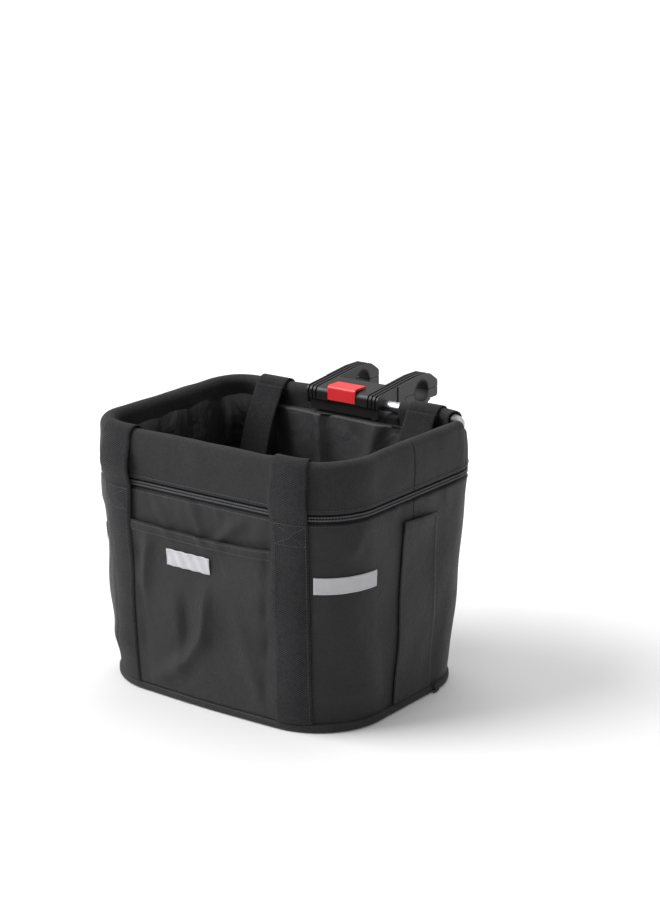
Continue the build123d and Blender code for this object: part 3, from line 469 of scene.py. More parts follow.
# ---------------------------------------- zip
# A coil zip joins the collar to the walls. Two spiral coils of nylon are sewn to the edges of
# two woven tapes and run right round the basket; the enamelled slider sits on the left side.
tape_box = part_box("zip_tape")
coil_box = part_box("zip_coils")
TAPE_OUT = tape_box[HIGH][0] - RIM_HALF
ZIP_Z = (coil_box[HIGH][2] + coil_box[LOW][2]) / 2
COIL_R = 0.0011
COIL_APART = (coil_box[HIGH][2] - coil_box[LOW][2]) / 2 - COIL_R
# The teeth of a number 5 coil are 1.3 mm apart; drawn 2.8 mm apart so that they show.
TOOTH_PITCH = 0.0028
tape_weave = cloth("woven_zip_tape", "#0c0c0d", "#1a1a1c", 0.0016, 0.7, 0.5)
coil_nylon = cloth("spiral_coil_nylon", "#1b1b1d", "#454549", 0.0028, 0.42, 0.2, gloss=0.5)
z = np.linspace(tape_box[HIGH][2] + 0.003, tape_box[LOW][2] - 0.002, 7)
U, Z = np.meshgrid(even_u(400), z)
hollow = 0.0009 * np.sin(np.pi * np.linspace(0, 1, 7))[:, None]
tape = surface("zip_tapes", rim_point(U, TAPE_OUT - hollow, Z), tape_weave, closed=True, thick=0.0006)
belongs(tape, "basket", "zip_tape_cloth", "zip_tape")
teeth = int(PERIMETER / TOOTH_PITCH)
u_teeth = u_at(np.arange(teeth * 4) / (teeth * 4) * PERIMETER)
bead = COIL_R * (1 + 0.3 * np.cos(np.arange(teeth * 4) * math.pi / 2))
turn = np.linspace(0, 2 * math.pi, 8, endpoint=False)[:, None]
grow = TAPE_OUT + COIL_R * 0.8 + bead * np.cos(turn)
for side, way, nodes in (("lower", -1, ("zip_coils",)), ("upper", 1, ())):
    rings = rim_point(u_teeth[None], grow, ZIP_Z + way * COIL_APART + bead * np.sin(turn))
    coil = surface(f"zip_coil_{side}", rings.transpose(1, 0, 2), coil_nylon, closed=True, torus=True)
    belongs(coil, "basket", "zip_tape_cloth", *nodes)
paint(metal("enamelled_zinc", "#3a3a3d", 0.34, 1.0), "zip_slider", "zip_pull")

# ---------------------------------------- outer walls
# The walls are coated 600 denier polyester, cut as panels, sewn to the zip above and bound to
# the base below. They hang soft: they pucker under the zip and between the straps.
BASE_HALF = base_box[HIGH][0]
BASE_REAR = base_box[HIGH][1]
BASE_BOW = 0.0063
BASE_FRONT = base_box[LOW][1] + BASE_BOW
BASE_CORNERS = (0.068, 0.076)
WALL_TOP = wall_box[HIGH][2]
WALL_LOW = wall_box[LOW][2]
WALL_OUT = wall_box[HIGH][0] - RIM_HALF
WALL_CLOTH = 0.0014
FOOT_IN = 0.002
FRONT_RUN = float(run_at(FRONT + 0.5))


def base_at(u, grow):
    return outline(u, grow, BASE_HALF, BASE_REAR, BASE_FRONT, BASE_CORNERS, BASE_BOW)


def wall_point(u, z, out, top=WALL_TOP, top_grow=WALL_OUT, foot_grow=-FOOT_IN):
    """Point and normal of a layer of the wall: a straight blend from the rim's outline to the base's."""
    u, z, out = np.broadcast_arrays(u, z, out)
    t = ((top - z) / (top - WALL_LOW))[..., None]
    head, head_normal = rim_at(u, top_grow)
    foot, foot_normal = base_at(u, foot_grow)
    normal = head_normal * (1 - t) + foot_normal * t
    normal = normal / np.linalg.norm(normal, axis=-1, keepdims=True)
    flat = head * (1 - t) + foot * t + normal * out[..., None]
    return np.concatenate([flat, z[..., None]], -1), np.concatenate([normal, 0 * z[..., None]], -1)


def ridge(run, z, fold):
    """A soft fold along a line from one end to the other, a bell curve across it, fading at its ends."""
    run0, z0, run1, z1, width, height = fold
    length = math.hypot(run1 - run0, z1 - z0)
    ax, az = (run1 - run0) / length, (z1 - z0) / length
    along = ((run - run0) * ax + (z - z0) * az) / length
    aside = (run - run0) * -az + (z - z0) * ax
    ends = 1 / (1 + np.exp(-9 * along)) / (1 + np.exp(9 * (along - 1)))
    return height * np.exp(-(aside / width) ** 2) * ends


# Folds on the front, as (distance left of the middle, height) of each end, width and height.
FRONT_FOLDS = [
    (0.016, -0.052, -0.004, -0.098, 0.0065, 0.0026),
    (-0.062, -0.060, -0.022, -0.096, 0.0075, 0.0024),
    (0.060, -0.066, 0.044, -0.098, 0.0065, 0.0018),
    (-0.006, -0.155, 0.001, -0.212, 0.0090, 0.0034),
    (0.001, -0.206, 0.040, -0.250, 0.0100, 0.0036),
    (0.030, -0.240, 0.082, -0.272, 0.0100, 0.0028),
    (0.075, -0.110, 0.088, -0.170, 0.0080, 0.0022),
    (0.026, -0.172, 0.030, -0.235, 0.0080, -0.0026),
    (-0.050, -0.180, -0.085, -0.262, 0.0120, 0.0018),
]
SIDE_FOLDS = [
    (0.075, -0.060, 0.064, -0.092, 0.0070, 0.0018),
    (0.052, -0.058, 0.060, -0.094, 0.0080, 0.0018),
    (0.048, -0.150, 0.082, -0.250, 0.0160, 0.0022),
    (0.020, -0.235, 0.100, -0.262, 0.0130, 0.0020),
]
SIDE_CORNER_RUN = float(run_at(FRONT_RIGHT + 1.0))
folds = [(FRONT_RUN + a, b, FRONT_RUN + c, d, w, h) for a, b, c, d, w, h in FRONT_FOLDS]
folds += [(SIDE_CORNER_RUN - a, b, SIDE_CORNER_RUN - c, d, w, h) for a, b, c, d, w, h in SIDE_FOLDS]
folds += [(2 * FRONT_RUN - SIDE_CORNER_RUN + a, b, 2 * FRONT_RUN - SIDE_CORNER_RUN + c, d, w, h)
          for a, b, c, d, w, h in SIDE_FOLDS]
wall_waves = ripples(11, 22, 0.05, 0.16, squat=1.3)
wall_pucker = ripples(12, 18, 0.014, 0.04, squat=2.6)
strap_box = {name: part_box(name) for name in
             ("front_strap_left", "front_strap_right", "rear_strap_left", "rear_strap_right")}
STRAP_MIDDLES = []
for name, box in strap_box.items():
    first, last = (3.0, 6.0) if name.startswith("front") else (0.0, 1.6)
    x = (box[LOW][0] + box[HIGH][0]) / 2
    if name == "rear_strap_left":
        first, last = -0.6, 1.0
    STRAP_MIDDLES.append(float(run_at(find_u(rim_at, 0, x, first, last))))
WEB_HALF = (strap_box["front_strap_right"][HIGH][0] - strap_box["front_strap_right"][LOW][0]) / 2


def wall_swell(u, z):
    """How far the cloth stands off its sewn shape at (u, z).

    Broad waves and folds are held to nothing at the zip and the base; puckers gather under the
    zip; the panels are drawn in along both edges of each strap.
    """
    run = run_at(u)
    t = np.clip((WALL_TOP - z) / (WALL_TOP - WALL_LOW), 0, 1)
    held = np.sin(np.pi * t) ** 0.55
    total = 0.0040 * wall_waves(run, z) * held + 0.0012 * held
    total = total + 0.0013 * wall_pucker(run, z) * (np.exp(-7 * t) + 0.25 * np.exp(-9 * (1 - t))) * (t > 0)
    for fold in folds:
        total = total + 1.6 * ridge(run, z, fold) * np.clip(held * 1.6, 0, 1)
    for middle in STRAP_MIDDLES:
        aside = np.abs(from_middle(run, middle)) - WEB_HALF
        tug = 1 + 0.6 * np.sin(z * 2 * math.pi / 0.047 + middle * 40)
        total = total - 0.0013 * np.exp(-((aside - 0.002) / 0.005) ** 2) * tug * held
    return total


polyester = cloth("coated_600d_polyester", "#060607", "#1d1d1f", POLYESTER_THREAD, 0.5, 0.8,
                  gloss=0.33, crease=0.4)
SEAM_STOP = -0.082
wall_runs = np.unique(np.concatenate([np.linspace(0, PERIMETER, 420, endpoint=False), seam_runs]))
wall_u = u_at(wall_runs)
wall_z = np.linspace(WALL_TOP, WALL_LOW - 0.001, 88)
U, Z = np.meshgrid(wall_u, wall_z)
fold_under = -0.0016 * np.exp(-((WALL_TOP - Z) / 0.0012) ** 2)
swell = wall_swell(U, Z) - seam_dip(U) * (Z > SEAM_STOP) + fold_under
wall = surface("wall_cloth", wall_point(U, Z, swell)[0], polyester, closed=True, thick=WALL_CLOTH)
belongs(wall, "basket", "wall_cloth", "wall_fabric")


def crumple(piece):
    """Gives the piece a mesh of its own."""
    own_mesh(piece)


crumple(wall)

# ---------------------------------------- pockets
# Flat pockets of the same polyester: one across the front, held by the straps' seams, and a
# narrow one on each side that spreads towards the base. Their top edges are hemmed.
pocket_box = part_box("front_pocket")
POCKET_LIFT = 0.0016
POCKET_CLOTH = 0.0012


def columns_between(first, last, line_top, line_foot, axis, span):
    """u of a panel's two edges at the rim and at the base, from their x or y there."""
    rim = [find_u(line_top, axis, value, *span) for value in first]
    foot = [find_u(line_foot, axis, value, *span) for value in last]
    return rim, foot


def panel(name, edges, top, low, out, thick, material, rows, columns, sag=0.0, slope=0.0, extra=None):
    """A panel lying on the wall: edges gives u of both sides at the rim and at the base.

    The top edge dips by sag (a sine) and drops by slope from its first side to its last.
    """
    (a0, b0), (a1, b1) = edges
    s, v = np.meshgrid(np.linspace(0, 1, columns), np.linspace(0, 1, rows))
    start = top - sag * np.sin(np.pi * s) - slope * s
    z = start + (low - start) * v
    t = (WALL_TOP - z) / (WALL_TOP - WALL_LOW)
    u = (a0 + (b0 - a0) * s) * (1 - t) + (a1 + (b1 - a1) * s) * t
    lift = out + wall_swell(u, z)
    if extra is not None:
        lift = lift + extra(s, v)
    points, normals = wall_point(u, z, lift)
    return surface(name, points, material, thick=thick), u, z, lift


def hemmed(s, v):
    """The hem at the top is two layers thick and stands off a little; the foot tucks in."""
    return 0.0007 * (v < 0.06) + 0.0016 * np.exp(-v * 9) * np.sin(np.pi * s) + 0.0006


front_span = (FRONT_RIGHT, FRONT_LEFT + 1.0)
SIDE_SPANS = {"right": (RIGHT, FRONT_RIGHT + 0.999), "left": (FRONT_LEFT + 0.001, LEFT + 1.0)}
half = pocket_box[HIGH][0] + 0.004
edges = columns_between((half, -half), (half, -half), rim_at, base_at, 0, front_span)
front_pocket, pocket_u, pocket_z, pocket_lift = panel(
    "front_pocket_cloth", edges, pocket_box[HIGH][2] + 0.0022, WALL_LOW, POCKET_LIFT, POCKET_CLOTH,
    polyester, 74, 72, sag=0.002, extra=hemmed)
belongs(front_pocket, "basket", "wall_cloth", "front_pocket")
crumple(front_pocket)
side_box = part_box("side_pocket_right")
SIDE_TOP_Y = (-0.156, -0.213)
SIDE_FOOT_Y = (side_box[HIGH][1], side_box[LOW][1])
side_panels = {}
SIDE_SLOPE = 0.003
for side, span in SIDE_SPANS.items():
    order = 1 if side == "right" else -1
    edges = columns_between(SIDE_TOP_Y[::order], SIDE_FOOT_Y[::order], rim_at, base_at, 1, span)
    top = side_box[HIGH][2] - (SIDE_SLOPE if order > 0 else 0)
    piece, u, z, lift = panel(f"side_pocket_{side}_cloth", edges, top, WALL_LOW, POCKET_LIFT, POCKET_CLOTH,
                              polyester, 74, 26, slope=-SIDE_SLOPE * order, extra=hemmed)
    side_panels[side] = (u, z, lift)
    belongs(piece, "basket", "wall_cloth", f"side_pocket_{side}")
    crumple(piece)

# ---------------------------------------- reflective strips
# Grey glass-bead tape, sewn flat on the front pocket and on both front corners. It lies in soft
# ripples with the cloth, and the beads give it a pale, dry shine.


def bead_tape(name, colour, worn):
    """Glass beads under a clear skin: pale grey, semi-gloss, with a fine sparkle and rubbed streaks."""
    material, shader = new_material(name)
    place = add(material, "ShaderNodeTexCoord").outputs["Object"]
    beads = add(material, "ShaderNodeTexVoronoi", {"Scale": 1600.0}, {"Vector": place})
    rub = add(material, "ShaderNodeTexNoise", {"Scale": 90.0, "Detail": 4.0}, {"Vector": place})
    tone = add(material, "ShaderNodeMix", {6: linear(colour), 7: linear(worn)},
               {0: rub.outputs["Fac"]}, data_type="RGBA")
    feed(material, shader, "Base Color", tone.outputs[2])
    bump = add(material, "ShaderNodeBump", {"Strength": 0.25, "Distance": 0.0002},
               {"Height": beads.outputs["Distance"]})
    feed(material, shader, "Normal", bump.outputs["Normal"])
    shader.inputs["Roughness"].default_value = 0.42
    shader.inputs["Coat Weight"].default_value = 0.3
    return material


# One tape in two copies that differ only in painted light: the front copy is paler, as lit, and the side copy
# darker, as painted shade.
lit_front_tape = bead_tape("glass_bead_tape_lit_front", "#c4c4c8", "#adadb1")
shaded_side_tape = bead_tape("glass_bead_tape_shaded_side", "#b0b0b4", "#9c9ca0")
STRIP_LIFT = POCKET_LIFT + 0.0022
SIDE_STRIP_LIFT = 0.0009
STRIP_THICK = 0.0004
# How far back the rear and front ends of each side strip sit from its solid's ends. The two sides
# do not match: the left strip is set further back and is 21 mm longer.
SET_IN = {"right": (0.0, 0.007), "left": (0.030, 0.016)}
strips = {}
for side, material in (("front", lit_front_tape), ("right", shaded_side_tape), ("left", shaded_side_tape)):
    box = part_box(f"reflector_{side}")
    if side == "front":
        edges = columns_between((box[HIGH][0], box[LOW][0]), (box[HIGH][0], box[LOW][0]),
                                rim_at, base_at, 0, front_span)
        lift = STRIP_LIFT
    else:
        ends = (box[HIGH][1] + SET_IN[side][0], box[LOW][1] + SET_IN[side][1])
        ends = ends if side == "right" else ends[::-1]
        edges = columns_between(ends, ends, rim_at, base_at, 1, SIDE_SPANS[side])
        lift = SIDE_STRIP_LIFT

    def rippled(s, v, front=side == "front"):
        return (0.00055 if front else 0.0001) * np.sin(2 * math.pi * (4.2 * s + 0.7 * v))

    piece, u, z, out = panel(f"reflective_strip_{side}", edges, box[HIGH][2], box[LOW][2], lift,
                             STRIP_THICK, material, 14, 50, extra=rippled)
    strips[side] = (u, z, out)
    belongs(piece, "basket", "reflective_strip", f"reflector_{side}")
    crumple(piece)

# ---------------------------------------- lining and back panel
# The lining is thin coated nylon, glossier than the walls. It is sewn inside the collar's tunnel,
# hangs in upright folds and is caught in the base seam. A soft panel stiffens its back.
taffeta = cloth("coated_nylon_lining", "#0b0b0c", "#222225", 0.0016, 0.36, 0.2, gloss=0.6, crease=0.5)
lining_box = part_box("lining")
LINING_TOP_GROW = -0.0030
LINING_FOOT_GROW = -0.0062
lining_folds = ripples(21, 22, 0.03, 0.11, squat=5.0)
lining_creases = ripples(22, 16, 0.02, 0.05, squat=2.0)


def lining_swell(u, z, top):
    """Upright folds that are smallest at the seams, leaning into the basket only."""
    run = run_at(u)
    t = np.clip((top - z) / (top - WALL_LOW), 0, 1)
    held = np.sin(np.pi * t) ** 0.7
    return -(0.0035 + 0.0055 * lining_folds(run, z) + 0.0018 * lining_creases(run, z)) * held


def lining_point(u, z, out, top):
    return wall_point(u, z, out, top=top, top_grow=LINING_TOP_GROW, foot_grow=LINING_FOOT_GROW)[0]


LINING_TOP = RIM_Z - 0.0125
LINING_LOW = lining_box[LOW][2] - 0.001
U, V = np.meshgrid(even_u(380), np.linspace(0, 1, 70))
rim_x, rim_y = np.moveaxis(rim_at(U, 0.0)[0], -1, 0)
behind_head = (np.abs(rim_x) < BARE_HALF + 0.002) & (rim_y > RIM_REAR - 0.01)
top_edge = np.where(behind_head, under_head(rim_x) - 0.003, LINING_TOP)
Z = top_edge + (LINING_LOW - top_edge) * V
lining = surface("lining_cloth", lining_point(U, Z, lining_swell(U, Z, LINING_TOP), LINING_TOP), taffeta,
                 closed=True, thick=0.0006)
belongs(lining, "basket", "lining_cloth", "lining")
crumple(lining)
pad_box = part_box("back_pad")
pad_cloth = cloth("padded_back_polyester", "#121213", "#333336", POLYESTER_THREAD, 0.42, 0.5,
                  gloss=0.5, crease=0.4)
pad_u = [find_u(rim_at, 0, x, REAR, REAR_RIGHT) for x in (pad_box[LOW][0], pad_box[HIGH][0])]
S, V = np.meshgrid(np.linspace(0, 1, 60), np.linspace(0, 1, 80))
PAD_TOP = pad_box[HIGH][2]
Z = PAD_TOP + (pad_box[LOW][2] - PAD_TOP) * V
U = pad_u[0] + (pad_u[1] - pad_u[0]) * S
round_edge = np.clip(np.minimum(np.minimum(S, 1 - S) * 22, np.minimum(V + 0.08, 1 - V) * 30), 0, 1) ** 0.5
broad = (0.0080 * np.exp(-((S - 0.34 - 0.06 * V) / 0.045) ** 2)
         + 0.0050 * np.exp(-((S - 0.74 + 0.3 * V) / 0.05) ** 2))
pad_waves = ripples(25, 16, 0.03, 0.09, squat=2.5)
broad = broad * np.sin(np.pi * np.clip(V * 0.9 + 0.1, 0, 1)) ** 0.5
face = -(0.0105 + 0.0026 * pad_waves(run_at(U), Z) + broad)
front = lining_point(U, Z, face * round_edge - 0.0008, LINING_TOP)
back = lining_point(U, Z, -0.0002 + 0 * U, LINING_TOP)
ring = np.concatenate([front, back[:, ::-1]], 1)
caps = [np.broadcast_to(row.mean(0), row.shape)[None] for row in (ring[0], ring[-1])]
ring = np.concatenate([caps[0], ring, caps[1]])
pad = surface("back_panel", ring, pad_cloth, closed=True, flip=True)
belongs(pad, "basket", "lining_cloth", "back_pad")
crumple(pad)

# ---------------------------------------- tucked cover
# A drawstring cover of thin coated nylon is sewn under the tunnel and lies tucked down inside the
# rim, gathered into uneven upright pleats. It runs from one rear strap round the front to the other.
cover_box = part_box("tucked_cover")
COVER_DEPTH = 0.070
COVER_TOP = cover_box[HIGH][2] - 0.001
cover_u = [find_u(rim_at, 0, x, REAR, REAR_RIGHT) for x in (CORNER_X + 0.002, -CORNER_X - 0.002)]
cover_runs = np.linspace(run_at(cover_u[0]), PERIMETER + run_at(cover_u[1]), 620)
pleats = ripples(31, 26, 0.012, 0.05, squat=7.0)
hem_waves = ripples(32, 10, 0.05, 0.2)
S, V = np.meshgrid(np.linspace(0, 1, 620), np.linspace(0, 1, 30))
R = np.broadcast_to(cover_runs, S.shape)
U = u_at(np.mod(R, PERIMETER))
drop = COVER_DEPTH * (0.86 + 0.14 * hem_waves(R, 0 * R))
Z = COVER_TOP - drop * V
pressed = sum(np.exp(-(from_middle(R, middle) / 0.026) ** 2) for middle in STRAP_MIDDLES)
gather = (0.0012 + 0.0050 * V ** 0.8) * (0.9 + 0.9 * pleats(R, Z)) * (1 - 0.8 * pressed)
bunch = 0.0030 * np.sin(np.pi * V) * (1 - 0.7 * pressed) + 0.0014
cover_points = lining_point(U, Z, lining_swell(U, Z, LINING_TOP) - gather - bunch, LINING_TOP)
cover = surface("tucked_cover_cloth", cover_points, taffeta, thick=0.0004)
belongs(cover, "basket", "lining_cloth", "tucked_cover")

# ---------------------------------------- webbing straps
# Polypropylene webbing 38 mm wide, with a coarse rib. Each strap is sewn down the wall, runs loose
# over the zip and collar, and folds over the rim, where it becomes a leg of a carrying loop.
# The coarse rib is painted strongly into the tone: lighter on the rib crowns and darker in the grooves, as
# painted light and shade.
webbing = cloth("ribbed_polypropylene_webbing", "#040405", "#343437", 0.0036, 0.62, 1.0,
                gloss=0.2, fade_by=0.25, rib=0.66, weave_shade=0.7)
WEB_THICK = 0.0014
# The front straps rise over the edges of the pocket; elsewhere they lie flat on the wall.
STRAP_LIFT = 0.0018
POCKET_RISE = 0.0013
WRAP_R = 0.0114
STRAP_BOW = 0.0052
WRAP_END = 0.006
strap_panels = {}
for name, box in strap_box.items():
    front_side = name.startswith("front")
    span = (3.0, 6.0) if front_side else ((0.0, 2.0) if name.endswith("right") else (-0.999, 1.0))
    xs = (box[HIGH][0], box[LOW][0]) if front_side else (box[LOW][0], box[HIGH][0])
    edges = columns_between(xs, xs, rim_at, base_at, 0, span)

    towards_pocket = (lambda s: 1 - s) if name.endswith("left") else (lambda s: s)

    def firm(s, v):
        over = POCKET_RISE * towards_pocket(s) if front_side else 0.0
        return over + 0.0003 * np.sin(v * 40) * np.sin(np.pi * s) + 0.0004 * np.sin(np.pi * s)

    sewn, u, z, lift = panel(f"{name}_sewn", edges, WALL_TOP, WALL_LOW - 0.001, STRAP_LIFT, WEB_THICK,
                             webbing, 80, 15, extra=firm)
    strap_panels[name] = (u, z, lift)
    belongs(sewn, "basket", "webbing")
    crumple(sewn)
    rise = np.linspace(0, 1, 26)
    start = WALL_OUT + STRAP_LIFT
    path_n = start + (WRAP_R - start) * smooth(rise)
    path_z = WALL_TOP + (RIM_Z - WALL_TOP) * rise
    turn = np.linspace(0, math.pi, 19)[1:]
    path_n = np.concatenate([path_n, WRAP_R * np.cos(turn), [-WRAP_R, -WRAP_R]])
    path_z = np.concatenate([path_z, RIM_Z + WRAP_R * np.sin(turn), [RIM_Z - WRAP_END / 2, RIM_Z - WRAP_END]])
    bow = np.concatenate([np.sin(np.pi * rise ** 0.8) ** 2, np.zeros(20)]) * (1.0 if front_side else 0.5)
    s = np.linspace(0, 1, 15)
    U = (edges[0][0] + (edges[0][1] - edges[0][0]) * s)[None]
    edge_curl = 1 - 0.25 * (2 * s - 1)[None] ** 2
    leaving = np.concatenate([(1 - rise) ** 2, np.zeros(20)])[:, None]
    grow = (path_n + STRAP_BOW * bow)[:, None] + firm(s, 0.0)[None] * leaving + 0.0004 * (edge_curl - 1)
    free = rim_point(U, grow, path_z[:, None])
    loose = surface(f"{name}_loose", free, webbing, thick=WEB_THICK, flip=True)
    belongs(loose, "basket", "webbing", name)

# ---------------------------------------- carrying loops
# The straps go on as two loops that hang inside: legs with their faces to the wall, turning a
# quarter on the way down so that the grip lies flat. The front loop hangs, the rear one leans.
LOOP_CORNER = 0.030
TURN_FROM = 0.085
GRIP_SINK = 0.004
HANG_IN = 0.0178
for name, body, rim_y, inward, lean, first, last in (
        ("front_handle", "front_loop", RIM_FRONT - RIM_BOW, 1, 0.0, 3.0, 6.0),
        ("rear_handle", "rear_loop", RIM_REAR, -1, math.radians(20.0), -0.999, 1.999)):
    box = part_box(name)
    half = box[HIGH][0] - WEB_HALF
    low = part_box("front_handle")[LOW][2]
    drop = RIM_Z - low
    leg = np.linspace(0.001, drop - LOOP_CORNER, 46)
    arc = np.linspace(0, math.pi / 2, 12)[1:]
    grip = np.linspace(-half + LOOP_CORNER, half - LOOP_CORNER, 50)[1:-1]
    path_x = np.concatenate([-half + 0 * leg, -half + LOOP_CORNER * (1 - np.cos(arc)), grip,
                             half - LOOP_CORNER * (1 - np.cos(arc[::-1])), half + 0 * leg])
    bend = drop - LOOP_CORNER * (1 - np.sin(arc)) - GRIP_SINK * arc / (math.pi / 2)
    path_h = np.concatenate([leg, bend, drop - GRIP_SINK + 0 * grip, bend[::-1], leg[::-1]])
    tx, th = np.gradient(path_x), np.gradient(path_h)
    size = np.hypot(tx, th)
    tx, th = tx / size, th / size
    quarter = np.clip((path_h - TURN_FROM) / (drop - LOOP_CORNER * 0.6 - TURN_FROM), 0, 1)
    quarter = smooth(quarter)[:, None] * math.pi / 2
    s = np.linspace(-1, 1, 13)[None] * WEB_HALF
    x = path_x[:, None] + s * np.cos(quarter) * th[:, None]
    h = path_h[:, None] - s * np.cos(quarter) * tx[:, None]
    planar = HANG_IN + WEB_HALF * np.sin(quarter) ** 2 + s * np.sin(quarter)
    u_leg = np.linspace(first, last, 600)
    line = rim_at(u_leg, -WRAP_R - 0.0016)[0]
    order = np.argsort(line[:, 0])
    hugging = np.abs(np.interp(x, line[order, 0], line[order, 1]) - rim_y)
    near = np.exp(-(path_h / 0.026) ** 2)[:, None]
    d = hugging * near + planar * (1 - near) + 0.0016 * np.sin(path_h * 34)[:, None] * (1 - near)
    y = rim_y + inward * (d * math.cos(lean) + h * math.sin(lean))
    z = RIM_Z - h * math.cos(lean) + d * math.sin(lean)
    loop = surface(f"{name}_webbing", np.stack([x, y, z], -1), webbing, thick=WEB_THICK)
    belongs(loop, body, "webbing", name)
    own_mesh(loop)

# ---------------------------------------- base
# A polyethylene board stiffens the floor, over a panel of polyester. A woven tape is folded round
# the edge of the panel and the walls and sewn through; its end shows as a small tab on the right.
paint(moulded("polyethylene_board", "#19191a", "#222224", 0.5, 0.25), "base_board")
panel_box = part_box("base_panel")
PANEL_GROW = panel_box[HIGH][0] - BASE_HALF
PANEL_THICK = panel_box[HIGH][2] - panel_box[LOW][2]
ring_u = np.linspace(0, ROUND, 1200)
edge_line = base_at(ring_u, PANEL_GROW)[0]
front_part, rear_part = (ring_u >= 2.5) & (ring_u <= 6.5), (ring_u >= 6.5) | (ring_u <= 2.5)
across = np.sin(np.linspace(-math.pi / 2, math.pi / 2, 90)) * (edge_line[:, 0].max() - 1e-5)
limits = []
for part in (front_part, rear_part):
    line = edge_line[part]
    order = np.argsort(line[:, 0])
    limits.append(np.interp(across, line[order, 0], line[order, 1]))
v = np.linspace(0, 1, 60)[:, None]
y = limits[1] * (1 - v) + limits[0] * v
x = np.broadcast_to(across, y.shape)
panel_waves = ripples(41, 14, 0.04, 0.12)
PANEL_SLACK = 0.0003
z = panel_box[HIGH][2] - 2 * PANEL_SLACK + PANEL_SLACK * panel_waves(x, y)
floor_panel = surface("base_panel_cloth", np.stack([x, y, z], -1), polyester,
                      thick=PANEL_THICK - 3 * PANEL_SLACK, flip=True)
belongs(floor_panel, "base", "wall_cloth", "base_panel")
tape_cloth = cloth("woven_binding_tape", "#101011", "#2d2d30", 0.0014, 0.62, 0.9, fade_by=0.25)
BASE_Z = base_box[LOW][2]
BINDING_TOP = base_box[HIGH][2]
BINDING_CLOTH = 0.0008
profile = np.array([(-0.0046, 0.0004), (-0.0026, 0.0002), (-0.0010, -0.0004), (-0.0002, -0.0014),
                    (-0.0004, -0.0022), (0.0002, -0.0030), (0.0005, -0.0050), (0.0003, -0.0072),
                    (-0.0004, -0.0088), (-0.0018, -0.0097), (-0.0040, -0.0100), (-0.0080, -0.0100),
                    (-0.0120, -0.0098)])
fine = np.linspace(0, len(profile) - 1, 36)
grow = np.interp(fine, range(len(profile)), profile[:, 0])[:, None]
fall = np.interp(fine, range(len(profile)), profile[:, 1])[:, None]
binding_waves = ripples(43, 18, 0.02, 0.08)
u = even_u(420)[None]
wave = binding_waves(run_at(u), 0 * u)
outer = np.clip(-fall / 0.003, 0, 1) * np.clip((0.0096 + fall) / 0.002, 0, 1)
height = BINDING_TOP + fall + 0.0006 * wave * np.clip(1 + fall / 0.006, 0, 1)
points = np.concatenate([base_at(u, grow + 0.0004 * wave * outer)[0], height[..., None]], -1)
binding = surface("base_edge_binding", points, tape_cloth, closed=True, thick=BINDING_CLOTH)
belongs(binding, "base", "binding_tape", "base_binding")
tab_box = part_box("binding_end")
turn = np.linspace(0, 1, 22)[:, None]
tab_x = BASE_HALF + 0.0006 + 0.0024 * np.sin(np.pi * turn ** 0.9) ** 0.8
tab_z = tab_box[HIGH][2] - (tab_box[HIGH][2] - tab_box[LOW][2]) * np.sin(np.pi / 2 * turn) + 0.0006 * turn
tab_y = np.linspace(tab_box[LOW][1], tab_box[HIGH][1], 8)[None]
tab = surface("binding_tab", np.stack(np.broadcast_arrays(tab_x, tab_y, tab_z), -1), tape_cloth,
              thick=BINDING_CLOTH)
belongs(tab, "base", "binding_tape", "binding_end")

# ---------------------------------------- stitching
# Bonded polyester thread, 0.5 mm thick, in 3.4 mm lockstitches. Each stitch is a small spindle
# that sinks at both ends where the needle went through.
thread_shade, thread_shader = new_material("bonded_polyester_thread")
place = add(thread_shade, "ShaderNodeTexCoord").outputs["Object"]
ply = add(thread_shade, "ShaderNodeTexNoise", {"Scale": 1200.0}, {"Vector": place})
tone = add(thread_shade, "ShaderNodeMix", {6: linear("#1c1c1e"), 7: linear("#48484b")},
           {0: ply.outputs["Fac"]}, data_type="RGBA")
feed(thread_shade, thread_shader, "Base Color", tone.outputs[2])
thread_shader.inputs["Roughness"].default_value = 0.5
grey_thread = thread_shade.copy()
grey_thread.name = "pale_polyester_thread"
for node in grey_thread.node_tree.nodes:
    if node.bl_idname == "ShaderNodeMix":
        node.inputs[6].default_value, node.inputs[7].default_value = linear("#8e8e92"), linear("#e4e4e6")
STITCH_PITCH = 0.0034
THREAD_R = 0.00036


def stitches(line, normals, pitch=STITCH_PITCH, closed=False):
    """Vertices and faces of a row of spindles along a line of points lying on a surface."""
    if closed:
        line, normals = np.concatenate([line, line[:1]]), np.concatenate([normals, normals[:1]])
    run = lengths(line)
    count = max(int(run[-1] / pitch), 1)
    middle = (np.arange(count) + 0.5) * run[-1] / count
    centre, ahead, back, up = (np.stack([np.interp(at, run, source[:, i]) for i in range(3)], -1)
                               for at, source in ((middle, line), (middle + pitch * 0.3, line),
                                                  (middle - pitch * 0.3, line), (middle, normals)))
    along = ahead - back
    along /= np.linalg.norm(along, axis=1, keepdims=True)
    side = np.cross(up, along)
    side /= np.linalg.norm(side, axis=1, keepdims=True)
    up = np.cross(along, side)
    tips = np.array([(-0.40, 0, -0.5), (0.40, 0, -0.5)])
    belt = np.array([(end, math.cos(a), math.sin(a) + 0.45) for end in (-0.24, 0.24)
                     for a in (0, math.pi / 2, math.pi, 3 * math.pi / 2)])
    shape = np.concatenate([tips, belt]) * (pitch, THREAD_R, THREAD_R)
    points = (centre[:, None] + shape[None, :, :1] * along[:, None] + shape[None, :, 1:2] * side[:, None]
              + shape[None, :, 2:] * up[:, None])
    faces = []
    for i in range(4):
        j = (i + 1) % 4
        faces += [(0, 2 + j, 2 + i, 2 + i), (1, 6 + i, 6 + j, 6 + j), (2 + i, 2 + j, 6 + j, 6 + i)]
    faces = np.array(faces)[None] + np.arange(count)[:, None, None] * len(shape)
    return points.reshape(-1, 3), faces.reshape(-1, 4)


